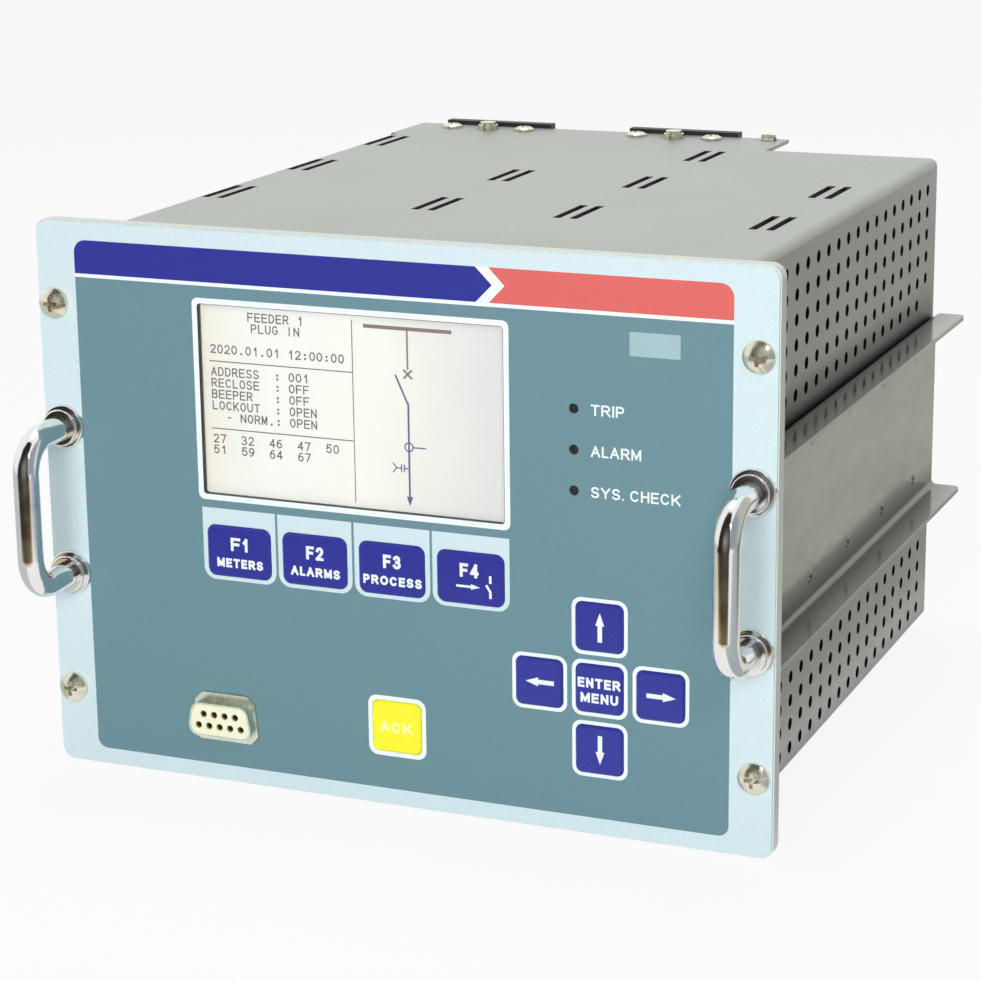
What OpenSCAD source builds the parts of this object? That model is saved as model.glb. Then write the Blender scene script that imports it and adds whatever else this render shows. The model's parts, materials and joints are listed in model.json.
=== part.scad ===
// Plug-in protection relay: an operator panel with display and keys on a folded,
// perforated sheet housing with guide rails, rear plug connectors and four boards.
// Millimetres. X runs to the right, Y from the front to the rear, Z up.

/* [Front panel] */
// Width of the panel's ears beside the housing
ear_w = 11; // [10.5:0.5:20]
// Height of the panel below the housing
housing_z = 3.2; // [3:0.1:5]
// Height of the panel above the housing
top_rim = 3.1; // [2:0.1:10]
// Thickness of the front plate
plate_t = 3.5; // [3:0.1:6]
// Corner radius of the front plate
panel_corner_r = 3; // [1:0.5:6]
// Thickness of the front foil
foil_t = 0.5; // [0.3:0.05:0.8]
// Rim of plate left bare around the foil
foil_inset = 0.3; // [0.1:0.1:1]

/* [Display] */
// Width of the display opening
window_w = 75.4; // [60:0.2:80]
// Height of the display opening
window_h = 44.8; // [36:0.2:48]
// Centre of the display, to the right of the panel's middle
window_x = -10.5; // [-14:0.5:-6]
// Distance of the display opening below the housing's top
window_drop = 14.1; // [10:0.1:16]
// Corner radius of the display opening
window_corner_r = 0.8; // [0.4:0.1:2]
// Thickness of the clear pane
pane_t = 0.6; // [0.4:0.1:1]
// Depth of the black bezel behind the pane
bezel_depth = 0.6; // [0.4:0.1:1]
// Wall of the black bezel
bezel_wall = 0.8; // [0.5:0.1:1.5]
// Rim of the display frame behind the plate, around the opening
lcd_frame_rim = 3.2; // [2:0.2:4]
// Depth of the display frame behind the plate
lcd_frame_depth = 9; // [8:0.5:12]

/* [Keys] */
// Width of a function key
fkey_w = 16.3; // [12:0.1:16.8]
// Height of a function key
fkey_h = 12.2; // [10:0.1:13]
// Corner radius of a function key
fkey_r = 2; // [1:0.1:3]
// Space between two function keys
fkey_space = 3.1; // [2.6:0.1:5]
// Offset of the function keys' middle from the display's
fkey_shift = 0.2; // [-2:0.1:2]
// Distance of the function keys' centre line below the display opening
fkey_drop = 13.3; // [12.5:0.1:16]
// Side of an arrow key
arrow_w = 11.3; // [9:0.1:11.8]
// Corner radius of an arrow key
arrow_r = 1.6; // [1:0.1:3]
// Space between two arrow keys
arrow_space = 3.05; // [2.6:0.05:5]
// Distance of the enter key's centre from the housing's right side
arrow_inset = 29.45; // [28:0.1:32]
// Height of the enter key's centre
arrow_z = 34.8; // [33:0.1:36]
// Side of the acknowledge key
ack_w = 12.3; // [9:0.1:14]
// Corner radius of the acknowledge key
ack_r = 1.8; // [1:0.1:3]
// Centre of the acknowledge key
ack_x = -0.15; // [-4:0.1:4]
// Height of the acknowledge key's centre
ack_z = 19.4; // [18:0.1:22]
// Height of a key above the foil
key_rise = 0.7; // [0.5:0.05:1.2]
// Bevel around the top of a key
key_bevel = 0.45; // [0.2:0.05:0.6]
// Free gap between a key and what it moves in
key_gap = 0.3; // [0.25:0.05:0.4]
// Lip that keeps a key behind the foil
key_lip = 0.7; // [0.5:0.05:0.75]
// Thickness of that lip
key_lip_t = 0.4; // [0.3:0.05:0.6]
// Travel of a key
key_travel = 0.4; // [0.2:0.05:0.5]
// Diameter of the key stems
stem_d = 4; // [3:0.1:5]
// Height of a key switch body
switch_h = 3.5; // [2.5:0.1:4]
// Side of a key switch body
switch_w = 6; // [5:0.1:7]
// Height of the switch plunger
plunger_h = 1; // [0.6:0.1:1.5]

/* [Lamps] */
// Diameter of an indicator lamp
lamp_d = 2.1; // [1.5:0.1:4]
// Distance of the lamps from the housing's right side
lamp_inset = 35.4; // [28:0.1:40]
// Distance of the upper lamp below the housing's top
lamp_drop = 31.1; // [20:0.1:40]
// Spacing of the lamps
lamp_pitch = 9.2; // [6:0.1:11]
// Gap around a lamp
lamp_gap = 0.1; // [0.05:0.05:0.3]
// Depth of a lamp's face behind the foil's face
lamp_set = 0.1; // [0:0.05:0.3]

/* [Service connector] */
// Distance of the connector's centre from the housing's left side
dsub_inset = 34.5; // [32:0.1:40]
// Height of the connector's centre
dsub_z = 16.2; // [15:0.1:22]
// Width of the shell along its wide side
dsub_w = 16.3; // [16:0.1:18]
// Height of the shell
dsub_h = 8.3; // [8:0.1:9]
// Corner radius of the shell
dsub_r = 2.6; // [2:0.1:3]
// Slope of the shell's ends, in degrees
dsub_slope = 10; // [5:1:15]
// Sheet of the shell
dsub_sheet = 0.4; // [0.3:0.05:0.6]
// Reach of the shell in front of the foil
dsub_reach = 3.7; // [3:0.1:6]
// Rim of the shell's wide base above and below the shell
dsub_base_rim = 1.7; // [1:0.1:2]
// Rim of the wide base beside the shell
dsub_base_side = 0.55; // [0.4:0.05:1.5]
// Corner cut of the wide base
dsub_base_corner = 2; // [1:0.1:3]
// Reach of the wide base in front of the foil
dsub_base_reach = 0.7; // [0.3:0.1:1.5]
// Width of the flange behind the plate
dsub_flange_w = 30.8; // [28:0.1:32]
// Thickness of that flange
dsub_flange_t = 0.8; // [0.5:0.1:1.2]
// Spacing of the contacts in a row
contact_pitch = 2.77; // [2.7:0.01:2.8]
// Spacing of the two contact rows
contact_row = 2.84; // [2.7:0.01:3]
// Bore of a contact
contact_d = 1.1; // [0.9:0.05:1.3]
// Wall of a contact
contact_wall = 0.3; // [0.2:0.05:0.4]

/* [Handles and screws] */
// Distance of the handles from the panel's ends
handle_inset = 5.4; // [4.5:0.1:6]
// Spacing of a handle's two feet
handle_pitch = 35.7; // [32:0.1:48]
// Distance of the mounting screws' middle below the panel's middle
fixing_drop = 0.35; // [-2:0.05:2]
// Distance of the handles' middle below the panel's middle
handle_drop = 0.6; // [-2:0.05:2]
// Diameter of the handle bar
bar_d = 6; // [5:0.1:7]
// Distance of the bar's axis from the foil
handle_reach = 18; // [16:0.5:30]
// Bend radius of the bar's axis
handle_bend_r = 8; // [6:0.5:10]
// Diameter of a ferrule's foot
ferrule_d = 10.6; // [9:0.1:10.7]
// Thickness of a ferrule's foot
ferrule_t = 1.5; // [1:0.1:2]
// Diameter of a ferrule's collar
collar_d = 8.9; // [7.8:0.1:9.2]
// Thickness of a ferrule's collar
collar_t = 1.5; // [1:0.1:2]
// Distance of the mounting screws from the panel's ends
screw_inset = 4.4; // [4:0.1:6]
// Height spacing of the mounting screws
screw_pitch = 94.1; // [90:0.1:104]
// Diameter of the mounting screws
screw_d = 4; // [3:0.1:4.5]
// Diameter of their heads
screw_head_d = 7.2; // [6:0.1:8]
// Height of their heads
screw_head_h = 2.6; // [2:0.1:3]
// Diameter of their necks in the plate, as a share of the thread
neck_share = 0.82; // [0.75:0.01:0.95]
// Length of a mounting screw behind the plate
screw_reach = 5; // [4:0.5:20]
// Gap around a screw shank in a clearance hole
screw_gap = 0.25; // [0.1:0.05:0.5]
// Diameter of the small fixing screws
fix_d = 3; // [2.5:0.1:3.5]
// Diameter of their heads
fix_head_d = 5.6; // [5:0.1:6]
// Height of their heads
fix_head_h = 2; // [1.5:0.1:2.5]
// Gap around a shank in a tapped hole
tap_gap = 0.05; // [0.02:0.01:0.1]

/* [Housing] */
// Outer width of the housing
housing_w = 158; // [145:1:220]
// Outer height of the housing
housing_h = 126.2; // [116:0.1:170]
// Depth of the housing behind the front plate
housing_depth = 170; // [150:1:240]
// Thickness of the sheet
sheet_t = 1; // [0.8:0.1:1.2]
// Outer bend radius of the housing's long edges
bend_r = 2; // [1.5:0.1:3]
// Gap between top cover and bottom tray along the sides
seam_gap = 0.3; // [0.1:0.1:1]
// Width of the folded end flanges
flange_w = 9; // [8:0.5:9]
// Diameter of a vent hole
vent_d = 3; // [2:0.1:4]
// Spacing of the vent holes along the side
vent_pitch_y = 8.32; // [7:0.02:10]
// Spacing of the vent rows
vent_pitch_z = 5.83; // [5:0.01:6]
// Rows of vent holes in the top cover
upper_rows = 6; // [3:1:6]
// Rows of vent holes in the bottom tray
lower_rows = 4; // [2:1:5]
// Distance of the last vent column from the rear edge
vent_rear = 9.3; // [8:0.1:14]
// Least distance of the first vent column from the front plate
vent_front = 10; // [6:0.1:20]
// Distance of the first upper row from the top
upper_vent_drop = 6.92; // [6:0.1:9]
// Distance of the last lower row from the underside
lower_vent_rise = 5.16; // [4.5:0.1:8]
// Length of the rear tongue of the top cover
tongue_l = 21.4; // [20:0.2:30]
// Width of the tongue beside the right connector
tongue_rim = 14.7; // [10:0.1:20]
// Length of a guide slot
slot_l = 18.8; // [12:0.2:24]
// Width of a guide slot
slot_w = 2; // [1.5:0.1:2.5]
// Spacing of the two slots of a pair
slot_pair = 4.15; // [4:0.05:5]
// Spacing of the slot rows along the housing
slot_pitch = 46.6; // [40:0.2:50]
// Distance of the last slot row from the rear edge
slot_rear = 15; // [12:0.5:20]
// Height of the tabs that are folded out of the slots
tab_h = 3; // [2:0.1:4]
// Thickness of the rear plate
rear_t = 1.2; // [1:0.1:2]
// Gap between the rear plate and the housing walls
rear_gap = 0.2; // [0.1:0.05:0.4]
// Gap between the blades and the edge of their window in the rear plate
rear_window_gap = 1.2; // [0.8:0.1:1.6]

/* [Guide rails] */
// Height of a rail
rail_h = 48.3; // [44:0.1:52]
// Distance of the rails below the housing's middle
rail_drop = 2.15; // [0:0.05:4]
// Depth of a rail, from the wall to the flange edge
rail_w = 9; // [7:0.1:10]
// Sheet of a rail
rail_t = 1.2; // [1:0.1:1.5]
// Outer bend radius of a rail
rail_bend_r = 2.6; // [2:0.1:4]
// Rounding of the flange ends
rail_corner_r = 2; // [1:0.1:6]
// Gap between the handle screws and the rails
rail_gap = 1; // [0.5:0.1:4]
// Distance of a rail's end from the housing's rear edge
rail_rear = 1; // [0:0.1:6]
// Diameter of a rivet head
rivet_head_d = 3.2; // [3:0.1:5]
// Height of a rivet head
rivet_head_h = 0.25; // [0.2:0.05:1]
// Diameter of a rivet shank
rivet_d = 2; // [1.6:0.1:2.6]
// Spacing of the rivets
rivet_pitch = 31.5; // [25:0.5:36]
// Distance of the rivet rows from the rail's edges
rivet_inset = 7.5; // [6:0.1:9]
// Bore of a rivet
rivet_bore_d = 1.2; // [0.8:0.1:1.4]
// Rivets in a row
rivet_count = 5; // [2:1:5]

/* [Rear connectors] */
// Width of a plug connector
plug_w = 32.2; // [30:0.2:34]
// Height of a plug connector under the tongue
plug_h = 52; // [48:1:54]
// Reach of a plug connector behind the tongue
plug_overhang = 3.6; // [1.5:0.1:4]
// Height of its rear lip above the tongue
plug_lip = 1.1; // [0.6:0.1:3]
// Gap between the lip and the tongue
plug_gap = 0.3; // [0.1:0.1:0.5]
// Distance of the left connector's centre from the housing's left side
plug_inset = 23.75; // [23:0.05:26]
// Spacing of the two connectors
plug_spacing = 56.15; // [50:0.05:58]
// Columns of contacts
plug_columns = 3; // [1:1:3]
// Rows of contacts
plug_rows = 4; // [1:1:4]
// Spacing of the contact blades
blade_pitch = 10; // [9.4:0.1:10.4]
// Width of a blade
blade_w = 6.3; // [4.8:0.1:6.5]
// Thickness of a blade
blade_t = 0.8; // [0.6:0.1:1]
// Gap around a blade in its slot
blade_gap = 0.1; // [0.05:0.05:0.2]
// Length of a blade inside the housing
blade_tail = 6; // [4:0.5:7]
// Width of a contact pocket
pocket_w = 8; // [7.4:0.1:8.6]
// Height of a contact pocket
pocket_h = 5; // [4:0.1:6]
// Depth of a contact pocket
pocket_depth = 14; // [10:0.5:16]
// Distance of a blade's tip from the pocket's mouth
blade_set = 2; // [1:0.5:4]
// Spacing of the three fixings of a connector
plug_fix_pitch = 11.1; // [10:0.1:12]
// Distance of the fixings from the tongue's rear edge
plug_fix_inset = 6.1; // [5:0.1:8]
// Sideways distance of the fixings' middle from the connector's middle
plug_fix_shift = -0.7; // [-1:0.1:1]
// Head height of the outer fixings
plug_head_h = 1.4; // [1:0.1:2]
// Depth of the fixings in the connector
plug_fix_depth = 7; // [5:0.1:7.4]
// Head height of the middle fixing
middle_head_h = 2; // [1.5:0.1:3.5]
// Distance of the earth spring's centre from the tongue's right edge
spring_inset = 5.1; // [4:0.1:8]
// Width of the earth spring
spring_w = 3.6; // [3:0.1:7]
// Sheet of the earth spring
spring_t = 0.4; // [0.3:0.05:0.6]
// Rise of the earth spring above the tongue
spring_rise = 1.5; // [1:0.1:2.5]
// Length of the earth spring
spring_l = 4.2; // [3.6:0.2:10]

/* [Boards] */
// Thickness of a board
pcb_t = 1.6; // [1:0.1:1.8]
// Plane of the input and output board
io_x = -17.05; // [-19:0.05:-16]
// Plane of the processor board
cpu_x = 19.5; // [18:0.05:21]
// Distance of the power board from the housing's right side
power_inset = 11.35; // [9:0.05:13]
// Gap between a card guide and the tabs beside it
guide_play = 0.15; // [0.1:0.05:0.3]
// Height of a card guide
guide_h = 6; // [5:0.1:8]
// Depth of a guide's groove
groove_depth = 3.5; // [2:0.1:4]
// Gap around a board in its groove
groove_gap = 0.1; // [0.05:0.05:0.2]
// Play above a board
board_play = 0.5; // [0.2:0.1:1]
// Distance of the boards from the rear plate
board_rear = 5; // [4:0.5:10]
// Gap between the operator board and the housing walls
hmi_gap = 6; // [5:0.5:7]
// Gap between the operator board and the bus board
stack_gap = 10; // [8:0.5:16]
// Gap between the bus board and the housing's side walls
bus_gap = 1; // [0.5:0.1:2]
// Depth of a card socket
socket_depth = 9; // [7:0.5:12]
// Width of a card socket
socket_w = 6.2; // [5:0.1:6.4]
// Height of a card socket
socket_h = 62; // [40:1:80]
// Depth of a board's edge in its socket
socket_grip = 4.5; // [3:0.1:6]
// Diameter of the board spacers
spacer_d = 6; // [5:0.1:7]
// Distance of the spacers from the operator board's ends
spacer_side = 8; // [6:0.5:8]
// Distance of the spacers from the operator board's upper and lower edges
spacer_inset = 5; // [4:0.5:7]
// Length of the header between the boards
header_w = 40; // [20:1:60]
// Height of that header
header_h = 6; // [4:0.2:9]

/* [Board parts] */
// Free space between the parts on a board
part_gap = 2; // [1:0.5:4]
// Height of a current transformer above its board
ct_h = 22; // [16:0.5:26]
// Bore of a current transformer
ct_bore_d = 9; // [6:0.5:12]
// Number of current transformers
ct_count = 4; // [3:1:4]
// Core width of a voltage transformer
vt_w = 24; // [18:0.5:26]
// Height of a voltage transformer above its board
vt_h = 20; // [14:0.5:24]
// Number of voltage transformers
vt_count = 3; // [2:1:4]
// Length of an output relay
relay_l = 28; // [20:0.5:29]
// Width of an output relay
relay_w = 10; // [8:0.5:13]
// Height of an output relay above its board
relay_h = 15.5; // [10:0.5:20]
// Number of output relays in a column
relay_rows = 5; // [3:1:5]
// Spacing of the output relays
relay_pitch = 19; // [16:0.5:20]
// Side of the main processor chip
chip_w = 28; // [20:0.5:32]
// Height of the chips above their board
chip_h = 2.6; // [1.5:0.1:4]
// Diameter of the back-up battery
battery_d = 22; // [16:0.5:24]
// Height of the back-up battery above its board
battery_h = 5; // [4:0.5:8]
// Side of the power transformer
power_w = 36; // [28:0.5:38]
// Height of the power transformer above its board
power_h = 30; // [22:0.5:36]
// Diameter of a bulk capacitor
cap_d = 16; // [10:0.5:18]
// Height of a bulk capacitor above its board
cap_h = 26; // [16:0.5:36]
// Number of bulk capacitors
cap_count = 3; // [2:1:3]
// Length of the heat sink
sink_l = 60; // [40:1:64]
// Height of the heat sink above its board
sink_h = 20; // [12:0.5:30]
// Width of the heat sink across its fins
sink_w = 26; // [20:1:28]
// Number of heat sink fins
sink_fins = 7; // [4:1:8]

/* [Hidden] */
$fn = 48;
// Overlap of a cutting tool past the face it cuts
cut = 1;

// Size of the panel and planes along the depth
panel_w = housing_w + 2 * ear_w;
panel_h = housing_z + housing_h + top_rim;
plate_back = foil_t + plate_t;
rear = plate_back + housing_depth;
tongue_rear = rear + tongue_l;
plug_rear = tongue_rear + plug_overhang;
rear_plate_y = rear - rear_t;
hmi_y = plate_back + lcd_frame_depth;
hmi_back = hmi_y + pcb_t;
bus_y = hmi_back + stack_gap;
bus_back = bus_y + pcb_t;
socket_back = bus_back + socket_depth;
board_front = socket_back - socket_grip;
board_back = rear_plate_y - board_rear;
// Middle of the whole depth, from the front of the handles to the rear of the plugs
mid_y = (plug_rear - handle_reach - bar_d / 2) / 2;

// Heights of the housing
top = housing_z + housing_h;
housing_mid = housing_z + housing_h / 2;
inner_top = top - sheet_t;
inner_bottom = housing_z + sheet_t;
inner_x = housing_w / 2 - sheet_t;
rail_z = housing_mid - rail_drop - rail_h / 2;
rail_y = plate_back + fix_head_h + rail_gap;
rail_l = rear - rail_rear - rail_y;
seam_z = housing_mid - rail_drop;
flange_x = inner_x - flange_w / 2;
vent_columns = floor((housing_depth - vent_front - vent_rear) / vent_pitch_y) + 1;
// Heights of the screws in the flanges
upper_screw = (top - bend_r - seam_z) / 4;
lower_screw = (seam_z - housing_z - bend_r) / 4;
panel_screw_zs = [seam_z + upper_screw, seam_z + 3 * upper_screw, seam_z - lower_screw, seam_z - 3 * lower_screw];
rear_screw_zs = [(seam_z + inner_top - plug_h) / 2, (housing_z + seam_z) / 2];
guide_y = socket_back + cut;
guide_back = board_back + board_rear / 2;
board_z = inner_bottom + guide_h - groove_depth;
board_h = inner_top - guide_h + groove_depth - board_play - board_z;
board_mid = board_z + board_h / 2;
guide_w = slot_pair + slot_w - 2 * guide_play;
hmi_w = 2 * (inner_x - hmi_gap);
hmi_h = housing_h - 2 * sheet_t - 2 * hmi_gap;
spacer_x = hmi_w / 2 - spacer_side;
// Height of a board's face between the guides, shared by the current transformers
free_h = inner_top - inner_bottom - 2 * guide_h;
ct_pitch = (free_h - part_gap) / ct_count;
ct_w = ct_pitch - part_gap;
// Middle of the power board's free face below its heat sink
power_mid = -(sink_w + part_gap) / 2;
analog_x = bend_r + (slot_pair + slot_w) / 2 - housing_w / 2;
power_x = housing_w / 2 - power_inset;
board_xs = [analog_x, io_x, cpu_x, power_x];
// The last slot row is left out beside the two boards that stop at the plugs
slot_rows = [[0, 1, 2], [1, 2], [0, 1, 2], [1, 2]];

// Key planes
lip_y = foil_t + key_gap;
pocket_y = lip_y + key_lip_t + key_travel + key_gap;
stem_end = hmi_y - switch_h - plunger_h - key_travel - key_gap;
stem_hole_d = stem_d + 4 * key_gap;

// Places on the panel
window_z = top - window_drop - window_h / 2;
fkey_x = window_x + fkey_shift;
fkey_z = window_z - window_h / 2 - fkey_drop;
fkey_pitch = fkey_w + fkey_space;
arrow_x = housing_w / 2 - arrow_inset;
arrow_pitch = arrow_w + arrow_space;
lamp_x = housing_w / 2 - lamp_inset;
lamp_z = top - lamp_drop;
dsub_x = dsub_inset - housing_w / 2;
handle_x = panel_w / 2 - handle_inset;
screw_x = panel_w / 2 - screw_inset;
fixing_z = panel_h / 2 - fixing_drop;
handle_z = panel_h / 2 - handle_drop;

// Places of the keys: centre, size, corner radius
fkeys = [for (i = [0 : 3]) [fkey_x + (i - 1.5) * fkey_pitch, fkey_z, fkey_w, fkey_h, fkey_r]];
up_place = [arrow_x, arrow_z + arrow_pitch, arrow_w, arrow_w, arrow_r];
left_place = [arrow_x - arrow_pitch, arrow_z, arrow_w, arrow_w, arrow_r];
enter_place = [arrow_x, arrow_z, arrow_w, arrow_w, arrow_r];
right_place = [arrow_x + arrow_pitch, arrow_z, arrow_w, arrow_w, arrow_r];
down_place = [arrow_x, arrow_z - arrow_pitch, arrow_w, arrow_w, arrow_r];
ack_place = [ack_x, ack_z, ack_w, ack_w, ack_r];
keys = concat(fkeys, [up_place, left_place, enter_place, right_place, down_place, ack_place]);

// Connector sizes
base_w = dsub_w + 2 * dsub_base_side;
base_h = dsub_h + 2 * dsub_base_rim;
plug_z = inner_top - plug_h / 2;
plug_left_x = plug_inset - housing_w / 2;
plug_right_x = plug_left_x + plug_spacing;
tongue_right = plug_right_x + plug_w / 2 + tongue_rim;
spring_x = tongue_right - spring_inset;

// Colours
foil_blue = [0.83, 0.91, 0.93];
plate_grey = [0.72, 0.74, 0.73];
sheet_grey = [0.69, 0.69, 0.65];
rail_grey = [0.64, 0.64, 0.60];
key_blue = [0.19, 0.18, 0.62];
key_yellow = [0.98, 0.95, 0.10];
steel = [0.75, 0.75, 0.74];
bright = [0.86, 0.86, 0.85];
black = [0.07, 0.07, 0.08];
cream = [0.93, 0.91, 0.80];
green = [0.11, 0.33, 0.20];
copper = [0.72, 0.45, 0.20];

// The origin lies under the middle of the part, on the panel's lower edge
module place() {
    translate([0, -mid_y, 0]) children();
}

// Extrudes an outline in X and Z along Y
module along_y(y, depth) {
    translate([0, y + depth, 0]) rotate([90, 0, 0]) linear_extrude(depth) children();
}

module rod_y(x, y, z, d, length) {
    translate([x, y, z]) rotate([-90, 0, 0]) cylinder(d = d, h = length);
}

module rod_x(x, y, z, d, length) {
    translate([x, y, z]) rotate([0, 90, 0]) cylinder(d = d, h = length);
}

// Rectangle about its centre with round corners
module round_rect(w, h, r) {
    square([w - 2 * r, h], center = true);
    square([w, h - 2 * r], center = true);
    for (sx = [-1, 1], sz = [-1, 1])
        translate([sx * (w / 2 - r), sz * (h / 2 - r)]) circle(r);
}

// Outline through the centres of its corner arcs
module round_poly(points, r) {
    polygon(points);
    for (i = [0 : len(points) - 1]) {
        a = points[i];
        b = points[(i + 1) % len(points)];
        translate(a) circle(r);
        translate(a) rotate(atan2(b[1] - a[1], b[0] - a[0])) translate([0, -r]) square([norm(b - a), 2 * r]);
    }
}

// Connector outline with sloping ends, its wide side below
module d_outline(w, h, r) {
    lean = (h - 2 * r) * tan(dsub_slope);
    half = w / 2 - r;
    tall = h / 2 - r;
    round_poly([[-half, -tall], [half, -tall], [half - lean, tall], [-half + lean, tall]], r);
}

// Outline of the connector's wide base, with cut corners and half the slope
module base_outline(grow) {
    half = base_w / 2 + grow;
    tall = base_h / 2 + grow;
    lean = tan(dsub_slope / 2);
    low = half - dsub_base_corner * lean;
    high = half - (2 * tall - dsub_base_corner) * lean;
    end = high - dsub_base_corner;
    polygon([[dsub_base_corner - half, -tall], [half - dsub_base_corner, -tall], [low, dsub_base_corner - tall],
             [high, tall - dsub_base_corner], [end, tall], [-end, tall],
             [-high, tall - dsub_base_corner], [-low, dsub_base_corner - tall]]);
}

module at(key) {
    translate([key[0], key[1]]) children();
}

// Round head with a low dome and a cross recess, standing on the plane z = 0
module pan_head(d, h) {
    dome = 0.6 * h;
    dome_r = (d * d / 4 + dome * dome) / (2 * dome);
    recess = [0.5 * d, 0.12 * d, 0.6 * h];
    difference() {
        rotate_extrude() intersection() {
            square([d / 2, h]);
            translate([0, h - dome_r]) circle(dome_r, $fn = 96);
        }
        for (turn = [0, 90])
            rotate(turn) translate([-recess[0] / 2, -recess[1] / 2, h - recess[2]]) cube(recess + [0, 0, cut]);
    }
}

// Pan head screw along Z, its head above z = 0
module pan_screw(d, head_d, head_h, length) {
    pan_head(head_d, head_h);
    translate([0, 0, -length]) cylinder(d = d, h = length);
}

module mounting_places() {
    for (sx = [-1, 1], sz = [-1, 1])
        translate([sx * screw_x, fixing_z + sz * screw_pitch / 2]) children();
}

module handle_places() {
    for (sx = [-1, 1], sz = [-1, 1])
        translate([sx * handle_x, handle_z + sz * handle_pitch / 2]) children();
}

// Two screws in each front flange of the top cover and of the bottom tray
module panel_screw_places() {
    for (sx = [-1, 1], z = panel_screw_zs)
        translate([sx * flange_x, z]) children();
}

module rear_screw_places() {
    for (sx = [-1, 1], z = rear_screw_zs)
        translate([sx * flange_x, z]) children();
}

module lamp_places() {
    for (i = [0 : 2])
        translate([lamp_x, lamp_z - i * lamp_pitch]) children();
}

module key_shapes(grow) {
    for (k = keys)
        at(k) round_rect(k[2] + 2 * grow, k[3] + 2 * grow, k[4] + grow);
}

module front_overlay() {
    color(foil_blue) place() difference() {
        along_y(0, foil_t) translate([0, panel_h / 2])
            round_rect(panel_w - 2 * foil_inset, panel_h - 2 * foil_inset, panel_corner_r);
        along_y(-cut, foil_t + 2 * cut) {
            translate([window_x, window_z]) round_rect(window_w, window_h, window_corner_r);
            key_shapes(key_gap);
            lamp_places() circle(d = lamp_d + 2 * lamp_gap);
            translate([dsub_x, dsub_z]) base_outline(tap_gap);
            mounting_places() circle(d = screw_d + 2 * screw_gap);
            handle_places() circle(d = fix_d + 2 * screw_gap);
        }
    }
}

module front_plate() {
    color(plate_grey) place() difference() {
        along_y(foil_t, plate_t) translate([0, panel_h / 2]) round_rect(panel_w, panel_h, panel_corner_r);
        along_y(foil_t - cut, pocket_y - foil_t + cut) key_shapes(key_lip + key_gap);
        along_y(foil_t - cut, plate_t + 2 * cut) {
            translate([window_x, window_z])
                round_rect(window_w + 2 * bezel_wall, window_h + 2 * bezel_wall, window_corner_r);
            for (k = keys)
                at(k) circle(d = stem_hole_d);
            lamp_places() circle(d = lamp_d + 2 * lamp_gap);
            translate([dsub_x, dsub_z]) base_outline(tap_gap);
            mounting_places() circle(d = screw_d + 2 * screw_gap);
            handle_places() circle(d = fix_d + 2 * screw_gap);
        }
        along_y(plate_back - plate_t * 0.7, plate_t) panel_screw_places() circle(d = fix_d + 2 * tap_gap);
    }
}

module display_window() {
    color([0.9, 0.95, 0.97, 0.3]) place()
        along_y(foil_t, pane_t) translate([window_x, window_z])
            round_rect(window_w + 2 * bezel_wall - 2 * rear_gap, window_h + 2 * bezel_wall - 2 * rear_gap, window_corner_r);
}

module display_bezel() {
    color(black) place() difference() {
        along_y(foil_t + pane_t, bezel_depth) translate([window_x, window_z])
            round_rect(window_w + 2 * bezel_wall - 2 * rear_gap, window_h + 2 * bezel_wall - 2 * rear_gap, window_corner_r);
        along_y(foil_t + pane_t - cut, bezel_depth + 2 * cut) translate([window_x, window_z])
            round_rect(window_w, window_h, window_corner_r);
    }
}

module display_glass() {
    glass_y = foil_t + pane_t + bezel_depth;
    color(cream) place()
        along_y(glass_y, plate_back - glass_y) translate([window_x, window_z])
            round_rect(window_w + 2 * bezel_wall - 2 * rear_gap, window_h + 2 * bezel_wall - 2 * rear_gap, window_corner_r);
}

module display_frame() {
    rim = bezel_wall + lcd_frame_rim;
    color(black) place()
        along_y(plate_back, lcd_frame_depth) translate([window_x, window_z])
            round_rect(window_w + 2 * rim, window_h + 2 * rim, window_corner_r);
}

// A raised pad with a bevelled edge, a lip behind the foil and a stem to its switch
module key(k, tint) {
    skin = 0.05;
    color(tint) place() {
        hull() {
            along_y(-key_rise, skin) at(k)
                round_rect(k[2] - 2 * key_bevel, k[3] - 2 * key_bevel, k[4] - key_bevel);
            along_y(key_bevel - key_rise, skin) at(k) round_rect(k[2], k[3], k[4]);
        }
        along_y(key_bevel - key_rise, key_rise - key_bevel + lip_y + key_lip_t / 2) at(k) round_rect(k[2], k[3], k[4]);
        along_y(lip_y, key_lip_t) at(k) round_rect(k[2] + 2 * key_lip, k[3] + 2 * key_lip, k[4] + key_lip);
        rod_y(k[0], lip_y, k[1], stem_d, stem_end - lip_y);
    }
}

module f1_key() {
    key(fkeys[0], key_blue);
}

module f2_key() {
    key(fkeys[1], key_blue);
}

module f3_key() {
    key(fkeys[2], key_blue);
}

module f4_key() {
    key(fkeys[3], key_blue);
}

module up_key() {
    key(up_place, key_blue);
}

module left_key() {
    key(left_place, key_blue);
}

module enter_key() {
    key(enter_place, key_blue);
}

module right_key() {
    key(right_place, key_blue);
}

module down_key() {
    key(down_place, key_blue);
}

module ack_key() {
    key(ack_place, key_yellow);
}

module key_switches() {
    color(black) place() for (k = keys) {
        along_y(hmi_y - switch_h, switch_h) at(k) square(switch_w, center = true);
        rod_y(k[0], hmi_y - switch_h - plunger_h, k[1], stem_d - 2 * key_gap, plunger_h);
    }
}

// A light pipe from the foil to its diode on the operator board
module lamp(i) {
    pipe_z = lamp_z - i * lamp_pitch;
    color(black) place() {
        rod_y(lamp_x, lamp_set, pipe_z, lamp_d, hmi_y - lamp_set);
        rod_y(lamp_x, plate_back, pipe_z, 2 * lamp_d, hmi_y - plate_back);
    }
}

module trip_lamp() {
    lamp(0);
}

module alarm_lamp() {
    lamp(1);
}

module check_lamp() {
    lamp(2);
}

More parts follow.
